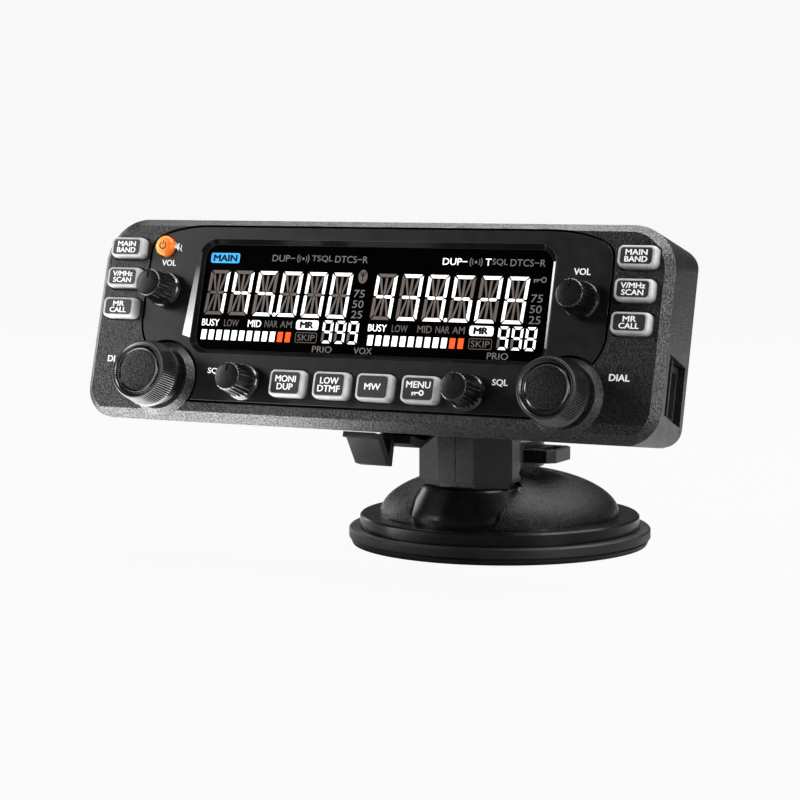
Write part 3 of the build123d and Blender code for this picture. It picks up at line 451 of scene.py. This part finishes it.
# white print with a painted glow on top of its own colour
legend_white_painted_glow = printed("legend_white_painted_glow", (0.78, 0.78, 0.78), 0.35, 0.5)
lit_white = printed("lit_white", (0.95, 0.95, 0.95), 1.0, 0.5, 0.03)
lit_dim = printed("lit_dim", (0.088, 0.074, 0.067), 1.0, 0.6, 0.12)
lit_grey = printed("lit_grey", (0.112, 0.108, 0.104), 1.0, 0.6, 0.12)
lit_blue = printed("lit_blue", (0.045, 0.35, 0.72), 0.75, 0.5)
lit_orange = printed("lit_orange", (0.95, 0.085, 0.015), 0.85, 0.5)
ink_black = printed("ink_black", (0.006, 0.006, 0.008), 0.0, 0.5)
# painted highlights: glowing strips that stand in for light falling on the window's slopes
painted_highlight_left = painted_window_glint("painted_highlight_left", 0.8, 0.03)
painted_highlight_right = painted_window_glint("painted_highlight_right", 0.2, 0.8)

NODE_MATERIALS = {
    "suction_pad": pad_rubber,
    "base_shell": stand_grained,
    "plunger": screw_steel,
    "plunger_nut": screw_steel,
    "plunger_spring": screw_steel,
    "lock_lever": stand_smooth,
    "column_half_left": stand_smooth,
    "column_half_right": stand_smooth,
    "column_screws": black_steel,
    "seat_screws": screw_steel,
    "swivel_knuckle": latch_plastic,
    "head_bracket": latch_plastic,
    "tilt_screw": screw_steel,
    "tilt_thumb_nut": latch_plastic,
    "release_latch": latch_plastic,
    "front_bezel": bezel_plastic,
    "rear_cover": cover_plastic,
    "rear_screws": black_steel,
    "centre_panel": panel_plastic,
    "display_lens": lens_black,
    "lcd_glass": glass_dark,
    "light_guide": guide_white,
    "front_board": board_green,
    "board_screws": screw_steel,
    "keypad_mats": mat_rubber,
    "dial_encoders": screw_steel,
    "level_pots": screw_steel,
    "cable_jack": component_black,
    "jack_contacts": contact_gold,
    "power_button": power_orange,
}
for name in NODES:
    if name.startswith("key_"):
        NODE_MATERIALS[name] = key_grey
    if name.endswith(("_knob_left", "_knob_right")):
        NODE_MATERIALS[name] = knob_side
    if "_shaft_" in name:
        NODE_MATERIALS[name] = screw_steel


def paint(obj, material):
    """Gives a CAD node one material in every slot."""
    if not obj.data.materials:
        obj.data.materials.append(material)
    for slot in obj.material_slots:
        slot.material = material


for name, obj in NODES.items():
    paint(obj, NODE_MATERIALS[name])


# ---- pieces ---------------------------------------------------------------------------------
CORNER_STEPS = 6
STROKE_OVERLAP = 0.2
COPY_LIFT = 0.002
COPY_RISE = 0.6


class Shapes:
    """Thin raised shapes on the head, gathered into one piece with one material.
    Their fronts are at depth front, and they reach back by thick."""

    def __init__(self, front, thick=PRINT_HEIGHT):
        self.bm = bmesh.new()
        self.front = front
        self.thick = thick

    def plate(self, corners, lift, sink):
        """A thin plate round corners (x, depth, height), anticlockwise from the front."""
        face = [self.bm.verts.new((x, depth - lift, z)) for x, depth, z in corners]
        foot = [self.bm.verts.new((x, depth + sink, z)) for x, depth, z in corners]
        self.bm.faces.new(face)
        self.bm.faces.new(foot[::-1])
        for i in range(len(face)):
            j = (i + 1) % len(face)
            self.bm.faces.new((face[j], face[i], foot[i], foot[j]))

    def prism(self, outline):
        """A flat shape, its outline given as (x, height)."""
        area = sum(a[0] * b[1] - b[0] * a[1] for a, b in zip(outline, outline[1:] + outline[:1]))
        if area < 0:
            outline = outline[::-1]
        self.plate([(x, self.front, z) for x, z in outline], 0.0, self.thick)

    def rounded(self, left, right, bottom, top, corner):
        """A rectangle with round corners."""
        points = []
        for cx, cz, start in (
            (right - corner, top - corner, 0),
            (left + corner, top - corner, 90),
            (left + corner, bottom + corner, 180),
            (right - corner, bottom + corner, 270),
        ):
            for step in range(CORNER_STEPS + 1):
                a = math.radians(start + step * 90 / CORNER_STEPS)
                points.append((cx + corner * math.cos(a), cz + corner * math.sin(a)))
        self.prism(points)

    def stroke(self, points, width):
        """A line of a given width through the points."""
        for a, b in zip(points, points[1:]):
            d = Vector((b[0] - a[0], b[1] - a[1]))
            if d.length < 1e-6:
                continue
            d = d.normalized()
            side = Vector((-d.y, d.x)) * width / 2
            over = d * width * STROKE_OVERLAP
            start, end = Vector(a) - over, Vector(b) + over
            self.prism([tuple(start - side), tuple(end - side), tuple(end + side), tuple(start + side)])

    def arc(self, cx, cz, radius, start, end, width, steps=14):
        """An arc drawn anticlockwise from start to end degrees."""
        turns = [math.radians(start + (end - start) * i / steps) for i in range(steps + 1)]
        self.stroke([(cx + radius * math.cos(a), cz + radius * math.sin(a)) for a in turns], width)

    def frame(self, left, right, bottom, top, corner, width):
        """The outline of a rectangle with round corners."""
        near, far = left + corner, right - corner
        low, high = bottom + corner, top - corner
        self.stroke([(near, top), (far, top)], width)
        self.stroke([(near, bottom), (far, bottom)], width)
        self.stroke([(left, high), (left, low)], width)
        self.stroke([(right, high), (right, low)], width)
        for cx, cz, start in ((near, high, 90), (near, low, 180), (far, low, 270), (far, high, 0)):
            self.arc(cx, cz, corner, start, start + 90, width, 5)

    def words(self, text, left, right, bottom, top, weight=0.0, slant=0.0):
        """Letters that fill a box, thickened by a weight in mm."""
        curve = bpy.data.curves.new("letters", "FONT")
        curve.body = text
        curve.resolution_u = 3
        curve.extrude = 0.01  # any depth does: the fronts and backs are moved apart below
        holder = placed("letters", curve)
        bpy.context.view_layer.update()
        graph = bpy.context.evaluated_depsgraph_get()
        mesh = bpy.data.meshes.new_from_object(holder.evaluated_get(graph))
        plain = [v.co.copy() for v in mesh.vertices]
        xs = [at.x for at in plain]
        ys = [at.y for at in plain]
        start, foot = min(xs), min(ys)
        wide = (right - left) / (max(xs) - start)
        tall = (top - bottom) / (max(ys) - foot)
        # a bold letter is its plain form drawn again at small steps to each side
        steps = ((-1, 0), (1, 0), (0, 1), (0, -1)) if weight else ((0, 0),)
        for k, (over, up) in enumerate(steps):
            for v, at in zip(mesh.vertices, plain):
                z = bottom + (at.y - foot) * tall
                x = left + (at.x - start) * wide + slant * (z - bottom)
                depth = self.front - k * COPY_LIFT if at.z > 0 else self.front + self.thick
                v.co = (x + over * weight, depth, z + up * weight * COPY_RISE)
            self.bm.from_mesh(mesh)
        bpy.data.objects.remove(holder)
        bpy.data.curves.remove(curve)
        bpy.data.meshes.remove(mesh)

    def piece(self, name, material, body):
        """Makes the shapes into a piece that rides on a body."""
        mesh = bpy.data.meshes.new(name)
        self.bm.transform(HEAD)
        self.bm.to_mesh(mesh)
        self.bm.free()
        mesh.materials.append(material)
        obj = placed(name, mesh)
        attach(obj, body)


# ---- display --------------------------------------------------------------------------------
MAIN_START = -43.85
SUB_START = 1.55
DIGIT_WIDTH = 5.4
DIGIT_TOP = 12.4
DIGIT_BOTTOM = 1.4
DIGIT_PITCH = 6.72
DIGIT_LEAN = 0.065
BAR = 0.8
GAP = 0.17
MEMORY_BOTTOM = -4.66
MEMORY_SIZE = (2.72, 5.45)
MEMORY_PITCH = 3.41
MEMORY_BAR = 0.62
MEMORY_LEAN = 0.03
METER_PITCH = 2.12
METER_BARS = 12
METER_WHITE_BARS = 10
BOLD = 0.012
FRAME_LINE = 0.14
WAVE_LINE = 0.2
SIGN_LINE = 0.28
ANTENNA_LINE = 0.24
PRINT_FRONT = LENS_DEPTH - PRINT_HEIGHT
lit = Shapes(PRINT_FRONT)
ghost = Shapes(PRINT_FRONT)
faint = Shapes(PRINT_FRONT)
pill_blue = Shapes(PRINT_FRONT)
meter_orange = Shapes(PRINT_FRONT)
pill_ink = Shapes(LENS_DEPTH - INK_HEIGHT)

SEGMENTS_ON = {
    "0": "abcdef",
    "1": "bc",
    "2": "abged",
    "3": "abgcd",
    "4": "fgbc",
    "5": "afgcd",
    "8": "abcdefg",
    "9": "abcdfg",
}


def digit(symbol, left, bottom, width, height, bar, lean, star):
    """One display figure: its lit segments, and the ghosts of the rest. With star it has the
    upright and slanting segments inside."""
    w, h, t, g = width, height, bar, GAP
    mid = h / 2
    end = g + 0.15

    def side(x):
        """A side's two segments, for x from the figure's edge."""
        upper = [(x(0), h - end), (x(t), h - t - g), (x(t), mid + t * 0.55), (x(t * 0.45), mid + g),
                 (x(0), mid + t * 0.4)]
        return upper, [(px, h - pz) for px, pz in upper]

    def near(x):
        return x

    def far(x):
        return w - x

    f, e = side(near)
    b, c = side(far)
    a = [(end, h), (w - end, h), (w - t - g, h - t), (t + g, h - t)]
    parts = {"a": [a], "d": [[(x, h - z) for x, z in a]], "f": [f], "b": [b], "e": [e], "c": [c]}
    if star:
        parts["g"] = [
            [(x(t * 0.75), mid), (x(t * 1.2), mid + t * 0.44), (x(w / 2 - t * 0.42), mid + t * 0.44),
             (x(w / 2 - g / 2), mid), (x(w / 2 - t * 0.42), mid - t * 0.44), (x(t * 1.2), mid - t * 0.44)]
            for x in (near, far)
        ]
        top, out = h - t - g, t + g
        upright = [(w / 2 - t * 0.36, top), (w / 2 + t * 0.36, top), (w / 2 + t * 0.36, mid + t * 0.62),
                   (w / 2, mid + t * 0.2), (w / 2 - t * 0.36, mid + t * 0.62)]
        slants = [
            [(x(out), top), (x(out + t * 0.5), top), (x(w / 2 - t * 0.42 - g), mid + t * 1.25),
             (x(w / 2 - t * 0.42 - g), mid + t * 0.6), (x(w / 2 - t * 0.8 - g), mid + t * 0.6),
             (x(out), top - t * 0.95)]
            for x in (near, far)
        ]
        upper = [upright, *slants]
        parts["star"] = upper + [[(x, h - z) for x, z in shape] for shape in upper]
    else:
        parts["g"] = [[(t * 0.8, mid), (t * 1.2, mid + t * 0.45), (w - t * 1.2, mid + t * 0.45), (w - t * 0.8, mid),
                       (w - t * 1.2, mid - t * 0.45), (t * 1.2, mid - t * 0.45)]]
    for name, shapes in parts.items():
        where = lit if name in SEGMENTS_ON[symbol] else ghost
        for shape in shapes:
            where.prism([(left + x + lean * (z - h), bottom + z) for x, z in shape])


# the right group is the left one shifted, with other figures and other signs lit
for group, figures, start, memory in (("main", "145000", MAIN_START, "999"), ("sub", "439528", SUB_START, "998")):
    shift = start - MAIN_START
    for i, symbol in enumerate(figures):
        digit(symbol, start + i * DIGIT_PITCH, DIGIT_BOTTOM, DIGIT_WIDTH, DIGIT_TOP - DIGIT_BOTTOM, BAR,
              DIGIT_LEAN, star=True)
    lit.rounded(start + 18.55, start + 19.35, DIGIT_BOTTOM, DIGIT_BOTTOM + 0.85, 0.2)
    for i, symbol in enumerate(memory):
        digit(symbol, -11.2 + shift + i * MEMORY_PITCH, MEMORY_BOTTOM, *MEMORY_SIZE, MEMORY_BAR, MEMORY_LEAN,
              star=False)
    for i in range(METER_BARS):
        x = -44.45 + shift + i * METER_PITCH
        where = lit if i < METER_WHITE_BARS else meter_orange
        where.prism([(x, -4.78), (x + 1.4, -4.78), (x + 1.5, -2.35), (x + 0.1, -2.35)])
    lit.words("BUSY", -44.6 + shift, -39.8 + shift, -1.4, 0.28, BOLD)
    ghost.words("LOW", -38.4 + shift, -34.35 + shift, -1.4, 0.28)
    (lit if group == "main" else ghost).words("MID", -31.75 + shift, -28.1 + shift, -1.35, 0.32, BOLD)
    ghost.words("NAR", -27.1 + shift, -23.6 + shift, -1.3, 0.36)
    ghost.words("AM", -22.85 + shift, -19.7 + shift, -1.3, 0.36)
    lit.rounded(-18.5 + shift, -12.5 + shift, -1.6, 0.7, 0.55)
    pill_ink.words("MR", -17.35 + shift, -13.9 + shift, -1.2, 0.35, 0.18)
    ghost.frame(-18.3 + shift, -12.6 + shift, -4.7, -2.3, 0.4, FRAME_LINE)
    ghost.words("SKIP", -17.8 + shift, -13.1 + shift, -4.25, -2.75)
    faint.words("PRIO", -13.4 + shift, -8.15 + shift, -6.95, -5.4)
    for number, height in (("75", 6.55), ("50", 4.05), ("25", 1.55)):
        faint.words(number, -4.15 + shift, -1.25 + shift, height, height + 1.82, 0.0, 0.05)
    top = lit if group == "sub" else faint
    top.words("DUP−", -27.3 + shift, -21.1 + shift, 14.85, 16.45, BOLD if group == "sub" else 0.0)
    wave = -18.85 + shift
    faint.rounded(wave - 0.33, wave + 0.33, 15.3, 15.96, 0.32)
    for radius in (0.95, 1.55):
        faint.arc(wave, 15.63, radius, -38, 38, WAVE_LINE, 6)
        faint.arc(wave, 15.63, radius, 142, 218, WAVE_LINE, 6)
    if group == "sub":
        lit.words("T", 28.95, 30.35, 14.85, 16.5, BOLD)
        faint.words("SQL", 30.65, 34.55, 14.85, 16.5)
    else:
        faint.words("TSQL", -16.5, -10.9, 14.85, 16.5)
    faint.words("DTCS−R", -10.2 + shift, -1.5 + shift, 14.85, 16.5)
faint.words("VOX", -2.3, 2.5, -6.95, -5.4)

# key sign at the right group, antenna sign in an oval at the left one
faint.arc(43.95, 11.8, 0.55, 0, 360, 0.26)
faint.stroke([(43.4, 11.8), (41.5, 11.8)], SIGN_LINE)
faint.stroke([(41.65, 11.8), (41.65, 11.15)], SIGN_LINE)
faint.stroke([(42.35, 11.8), (42.35, 11.3)], SIGN_LINE)
turns = [math.radians(i * 360 / 28) for i in range(28)]
ghost.prism([(-2.25 + 1.2 * math.cos(a), 11.6 + 1.65 * math.sin(a)) for a in turns])
pill_ink.stroke([(-2.25, 10.5), (-2.25, 12.7)], ANTENNA_LINE)
pill_ink.stroke([(-2.9, 12.6), (-2.25, 11.5)], ANTENNA_LINE)
pill_ink.stroke([(-1.6, 12.6), (-2.25, 11.5)], ANTENNA_LINE)

pill_blue.rounded(-44.45, -36.4, 14.2, 16.7, 0.55)
pill_ink.words("MAIN", -43.6, -37.15, 14.65, 16.25, 0.12)

lit.piece("display_lit", lit_white, "head")
ghost.piece("display_ghosts", lit_dim, "head")
faint.piece("display_faint", lit_grey, "head")
pill_blue.piece("display_main_mark", lit_blue, "head")
meter_orange.piece("display_meter_peak", lit_orange, "head")
pill_ink.piece("display_ink", ink_black, "head")

# painted highlights on the polished slopes at the window's ends: the left one is wider at its foot and flat on the
# panel, the right one leans back to the lens
edge = Shapes(-PRINT_HEIGHT)
edge.prism([(-46.3, 16.6), (-47.2, 16.4), (-49.0, -4.1), (-46.75, -4.7)])
edge.piece("window_highlight_left", painted_highlight_left, "head")
edge = Shapes(0.0)
near, far = 45.95, 46.75
near_depth, far_depth = WINDOW_HALF[0] - near, WINDOW_HALF[0] - far
edge.plate([(near, near_depth, -3.9), (far, far_depth, -4.3), (far, far_depth, 17.0), (near, near_depth, 16.6)],
           PRINT_HEIGHT, 0.05)
edge.piece("window_highlight_right", painted_highlight_right, "head")

# ---- legends --------------------------------------------------------------------------------
PRINT_WEIGHT = 0.055
LEGENDS = (
    ("VOL", -57.5, -53.55, 12.95, 14.42),
    ("VOL", 51.55, 55.55, 12.9, 14.38),
    ("SQL", -40.4, -36.6, -13.5, -11.95),
    ("SQL", 34.65, 38.45, -13.35, -11.68),
    ("DIAL", -69.4, -64.6, -11.45, -9.95),
    ("DIAL", 62.7, 67.5, -10.9, -9.4),
)
legend = Shapes(-PRINT_HEIGHT)
for text, *box in LEGENDS:
    legend.words(text, *box, PRINT_WEIGHT)
# the mute sign: a loudspeaker, struck through
legend.prism([(-54.6, 17.4), (-54.0, 17.4), (-53.3, 16.75), (-53.3, 18.75), (-54.0, 18.15), (-54.6, 18.15)])
legend.arc(-53.3, 17.75, 0.75, -40, 40, 0.16, 6)
legend.stroke([(-54.5, 18.85), (-52.3, 16.65)], 0.2)
legend.piece("legends", legend_white_painted_glow, "head")

POWER_FRONT = -1.63
POWER_LINE = 0.24
power_mark = Shapes(POWER_FRONT)
power_mark.arc(POWER_AT[0], POWER_AT[1] - 0.05, 0.85, 125, 415, POWER_LINE)
power_mark.stroke([(POWER_AT[0], POWER_AT[1] + 0.15), (POWER_AT[0], POWER_AT[1] + 1.1)], POWER_LINE)
power_mark.piece("power_mark", ink_black, "power_button")

# ---- key tops -------------------------------------------------------------------------------
KEY_WORDS = {
    "main": ("MAIN", "BAND"),
    "scan": ("V/MHz", "SCAN"),
    "call": ("MR", "CALL"),
    "monitor": ("MONI", "DUP"),
    "low": ("LOW", "DTMF"),
    "memory": ("MW",),
    "menu": ("MENU", None),
}
LETTER_WIDTH = {"MAIN": 5.1, "BAND": 5.3, "V/MHz": 5.7, "SCAN": 5.1, "MR": 3.1, "CALL": 4.7, "MONI": 5.4,
                "DUP": 4.2, "LOW": 4.8, "DTMF": 5.8, "MW": 4.1, "MENU": 6.1}


SIDE_INLAY = (7.5, 3.7)
ROW_INLAY = (7.5, 5.1)
SIDE_LETTERS = 1.24
ROW_LETTERS = 1.5
INLAY_HEIGHT = 0.05
INLAY_THICK = 0.12
INLAY_CORNER = 0.75
LETTER_HEIGHT = 0.09
LINE_SPACING = 1.26
KEY_SIGN_LINE = 0.36


def key_top(node, use, x, height, wide, tall, letters):
    """A key's dark inlay and its one or two lines of letters, or a small key for None."""
    inlay = Shapes(KEY_DEPTH - INLAY_HEIGHT, INLAY_THICK)
    inlay.rounded(x - wide / 2, x + wide / 2, height - tall / 2, height + tall / 2, INLAY_CORNER)
    inlay.piece(f"{node}_inlay", inlay_dark, node)
    ink = Shapes(KEY_DEPTH - LETTER_HEIGHT)
    rows = KEY_WORDS[use]
    step = letters * LINE_SPACING
    for i, word in enumerate(rows):
        middle = height + (len(rows) - 1) * step / 2 - i * step
        if word is None:
            ink.arc(x + 0.95, middle, 0.5, 0, 360, KEY_SIGN_LINE)
            ink.stroke([(x + 0.4, middle), (x - 1.45, middle)], KEY_SIGN_LINE)
            ink.stroke([(x - 1.3, middle), (x - 1.3, middle - 0.6)], KEY_SIGN_LINE)
            ink.stroke([(x - 0.65, middle), (x - 0.65, middle - 0.5)], KEY_SIGN_LINE)
            continue
        half = LETTER_WIDTH[word] / 2
        ink.words(word, x - half, x + half, middle - letters / 2, middle + letters / 2, PRINT_WEIGHT)
    ink.piece(f"{node}_letters", legend_white_painted_glow, node)


for use, height in SIDE_KEYS.items():
    for side, sign in (("left", -1), ("right", 1)):
        key_top(f"key_{use}_{side}", use, sign * SIDE_KEY_X, height, *SIDE_INLAY, SIDE_LETTERS)
for use, x in ROW_KEYS.items():
    key_top(f"key_{use}", use, x, ROW_KEY_HEIGHT, *ROW_INLAY, ROW_LETTERS)


# ---- knobs ----------------------------------------------------------------------------------
SHARP_ANGLE = math.radians(38)
CORNER_PASSES = 2
CORNER_CUT = 0.2
DIAL_RIBS = 84
DIAL_RIB_STEPS = 6
SMALL_RIBS = 22
SMALL_RIB_STEPS = 10
NOTCH_FRONT = -10.4
NOTCH_BACK = -9.35
NOTCH_HALF = 0.26


def lathe(name, at, profile, ribs, steps, materials, body, node):
    """A turned knob with ribs, each rib drawn in a number of steps. The profile runs from the
    face's middle to the panel and back inside, each point being (radius, distance in front of
    the panel, rib depth, material number)."""
    bm = bmesh.new()
    rings = []
    count = ribs * steps
    for radius, out, rib, _kind in profile:
        ring = []
        for i in range(count if radius > 0 else 1):
            r = radius - rib * (0.5 - 0.5 * math.cos(2 * math.pi * i / steps))
            turn = 2 * math.pi * i / count
            ring.append(bm.verts.new((at[0] + r * math.cos(turn), -out, at[1] + r * math.sin(turn))))
        rings.append(ring)
    for a, b, point in zip(rings, rings[1:], profile[1:]):
        for i in range(count):
            j = (i + 1) % count
            if len(a) == 1:
                face = bm.faces.new((a[0], b[i], b[j]))
            elif len(b) == 1:
                face = bm.faces.new((a[j], a[i], b[0]))
            else:
                face = bm.faces.new((a[j], a[i], b[i], b[j]))
            face.material_index = point[3]
            face.smooth = True
    bmesh.ops.recalc_face_normals(bm, faces=bm.faces)
    bm.transform(HEAD)
    mesh = bpy.data.meshes.new(name)
    bm.to_mesh(mesh)
    bm.free()
    for material in materials:
        mesh.materials.append(material)
    mesh.set_sharp_from_angle(angle=SHARP_ANGLE)
    obj = placed(name, mesh)
    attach(obj, body)
    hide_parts(node)
    return obj


def smooth_profile(points):
    """Rounds a profile's corners a little by corner cutting."""
    for _ in range(CORNER_PASSES):
        cut = [points[0]]
        for a, b in zip(points, points[1:]):
            for share in (CORNER_CUT, 1 - CORNER_CUT):
                cut.append(tuple(p * (1 - share) + q * share for p, q in zip(a[:3], b[:3])) + (b[3],))
        cut.append(points[-1])
        points = cut
    return points


DIAL_PROFILE = smooth_profile([
    (0.0, 11.45, 0.0, 0),
    (4.5, 11.38, 0.0, 0),
    (4.95, 11.3, 0.0, 0),
    (5.15, 11.55, 0.0, 2),
    (5.45, 11.66, 0.0, 2),
    (5.75, 11.2, 0.0, 2),
    (6.1, 11.28, 0.0, 2),
    (6.55, 11.82, 0.05, 2),
    (6.85, 11.85, 0.1, 1),
    (7.08, 11.6, 0.16, 1),
    (7.2, 11.2, 0.2, 1),
    (7.3, 10.4, 0.2, 1),
    (7.52, 8.8, 0.2, 1),
    (7.75, 7.2, 0.2, 1),
    (7.85, 6.6, 0.16, 1),
    (7.88, 6.3, 0.0, 2),
    (8.0, 5.95, 0.0, 2),
    (7.95, 5.65, 0.0, 2),
    (7.35, 5.45, 0.0, 2),
    (7.2, 3.5, 0.0, 2),
    (7.1, 1.95, 0.0, 2),
    (2.1, 1.95, 0.0, 2),
    (2.1, 5.0, 0.0, 2),
    (0.0, 5.0, 0.0, 2),
])
SMALL_PROFILE = smooth_profile([
    (0.0, 9.78, 0.0, 0),
    (1.6, 9.74, 0.0, 0),
    (2.7, 9.6, 0.0, 0),
    (3.12, 9.5, 0.03, 0),
    (3.35, 9.2, 0.1, 1),
    (3.45, 8.7, 0.22, 1),
    (3.55, 7.6, 0.26, 1),
    (3.7, 5.6, 0.26, 1),
    (3.85, 3.6, 0.26, 1),
    (3.95, 2.9, 0.1, 1),
    (4.02, 2.6, 0.0, 2),
    (4.25, 2.35, 0.0, 2),
    (4.45, 1.9, 0.0, 2),
    (4.5, 1.5, 0.0, 2),
    (4.48, 0.85, 0.0, 2),
    (1.6, 0.85, 0.0, 2),
    (1.6, 5.0, 0.0, 2),
    (0.0, 5.0, 0.0, 2),
])


def pointer_notch(knob, at):
    """Cuts the twelve o'clock mark into a small knob."""
    cutter = Shapes(NOTCH_FRONT, NOTCH_BACK - NOTCH_FRONT)
    cutter.rounded(at[0] - NOTCH_HALF, at[0] + NOTCH_HALF, at[1] + 1.2, at[1] + 4.2, 0.2)
    mesh = bpy.data.meshes.new("notch_cutter")
    cutter.bm.transform(HEAD)
    cutter.bm.to_mesh(mesh)
    cutter.bm.free()
    tool = placed("notch_cutter", mesh)
    cut = knob.modifiers.new("notch", "BOOLEAN")
    cut.object = tool
    cut.operation = "DIFFERENCE"
    cut.solver = "EXACT"
    bpy.context.view_layer.update()
    graph = bpy.context.evaluated_depsgraph_get()
    notched = bpy.data.meshes.new_from_object(knob.evaluated_get(graph))
    knob.modifiers.remove(cut)
    knob.data = notched
    bpy.data.objects.remove(tool)


for side, sign in (("left", -1), ("right", 1)):
    at = (sign * DIAL_AT[0], DIAL_AT[1])
    lathe(f"dial_{side}_cap", at, DIAL_PROFILE, DIAL_RIBS, DIAL_RIB_STEPS, [knob_face, knob_side, knob_gloss],
          f"dial_{side}", f"dial_knob_{side}")
    for use, place in (("volume", VOLUME_AT), ("squelch", SQUELCH_AT)):
        at = (sign * place[0], place[1])
        cap = lathe(f"{use}_{side}_cap", at, SMALL_PROFILE, SMALL_RIBS, SMALL_RIB_STEPS,
                    [cap_face, knob_gloss, knob_gloss], f"{use}_{side}", f"{use}_knob_{side}")
        pointer_notch(cap, at)


# ---- studio ---------------------------------------------------------------------------------
def softbox(name, place, aim, size, power):
    """A rectangular light that the camera doesn't see."""
    light = bpy.data.lights.new(name, "AREA")
    light.shape = "RECTANGLE"
    light.size, light.size_y = size
    light.energy = power
    obj = placed(name, light)
    obj.location = place
    obj.rotation_mode = "QUATERNION"
    obj.rotation_quaternion = (Vector(aim) - Vector(place)).to_track_quat("-Z", "Y")
    obj.visible_camera = False


low, high = CAD_BOX
centre = (Vector(low) + Vector(high)) / 2
FLOOR_GAP = 0.0001
softbox("key_left", (-0.8, -0.5, 0.37), centre, (0.46, 0.46), 5.2)
softbox("overhead", (0.06, 0.28, 0.62), centre, (1.15, 0.5), 9.5)
softbox("overhead_right", (0.3, -0.04, 0.6), centre, (0.2, 0.2), 2.4)
softbox("strip_right", (0.66, -0.3, 0.21), centre, (0.12, 0.36), 2.8)
softbox("rim_left", (-0.62, 0.33, 0.1), centre, (0.26, 0.3), 0.7)
softbox("floor_bounce", (-0.1, -0.083, 0.002), (-0.1, -0.083, 1.0), (0.125, 0.09), 0.31)

world = bpy.data.worlds.new("studio")
bpy.context.scene.world = world
world.use_nodes = True
tree = world.node_tree
tree.nodes.clear()
out = tree.nodes.new("ShaderNodeOutputWorld")
mix = tree.nodes.new("ShaderNodeMixShader")
seen = tree.nodes.new("ShaderNodeBackground")
seen.inputs["Color"].default_value = (0.947, 0.947, 0.947, 1.0)
fill = tree.nodes.new("ShaderNodeBackground")
fill.inputs["Color"].default_value = (0.06, 0.06, 0.06, 1.0)
path = tree.nodes.new("ShaderNodeLightPath")
tree.links.new(path.outputs["Is Camera Ray"], mix.inputs[0])
tree.links.new(fill.outputs[0], mix.inputs[1])
tree.links.new(seen.outputs[0], mix.inputs[2])
tree.links.new(mix.outputs[0], out.inputs[0])

floor_mesh = bpy.data.meshes.new("floor")
floor_bm = bmesh.new()
bmesh.ops.create_circle(floor_bm, cap_ends=True, radius=18.0, segments=64)
floor_bm.to_mesh(floor_mesh)
floor_bm.free()
floor = placed("floor", floor_mesh)
floor.location.z = low[2] - FLOOR_GAP
n = Nodes("floor_paper")
n.tree.nodes.remove(n.shader)
paper = n.add("ShaderNodeBsdfDiffuse")
seen_paper = n.add("ShaderNodeBsdfDiffuse")
grey = n.ramp(n.noise(60.0, 3.0), "Fac", 0.40, 0.44)
n.link(grey, "Color", paper, "Color")
seen_paper.inputs["Color"].default_value = (0.012, 0.012, 0.012, 1.0)
glow = n.add("ShaderNodeEmission")
glow.inputs["Color"].default_value = (0.94, 0.94, 0.94, 1.0)
seen_floor = n.add("ShaderNodeAddShader")
n.link(seen_paper, "BSDF", seen_floor, 0)
n.link(glow, "Emission", seen_floor, 1)
blend = n.add("ShaderNodeMixShader")
rays = n.add("ShaderNodeLightPath")
n.link(rays, "Is Camera Ray", blend, 0)
n.link(paper, "BSDF", blend, 1)
n.link(seen_floor, "Shader", blend, 2)
n.link(blend, "Shader", n.out, "Surface")
floor_mesh.materials.append(n.material)

view = bpy.context.scene.view_settings
view.view_transform = "Standard"
view.look = "None"
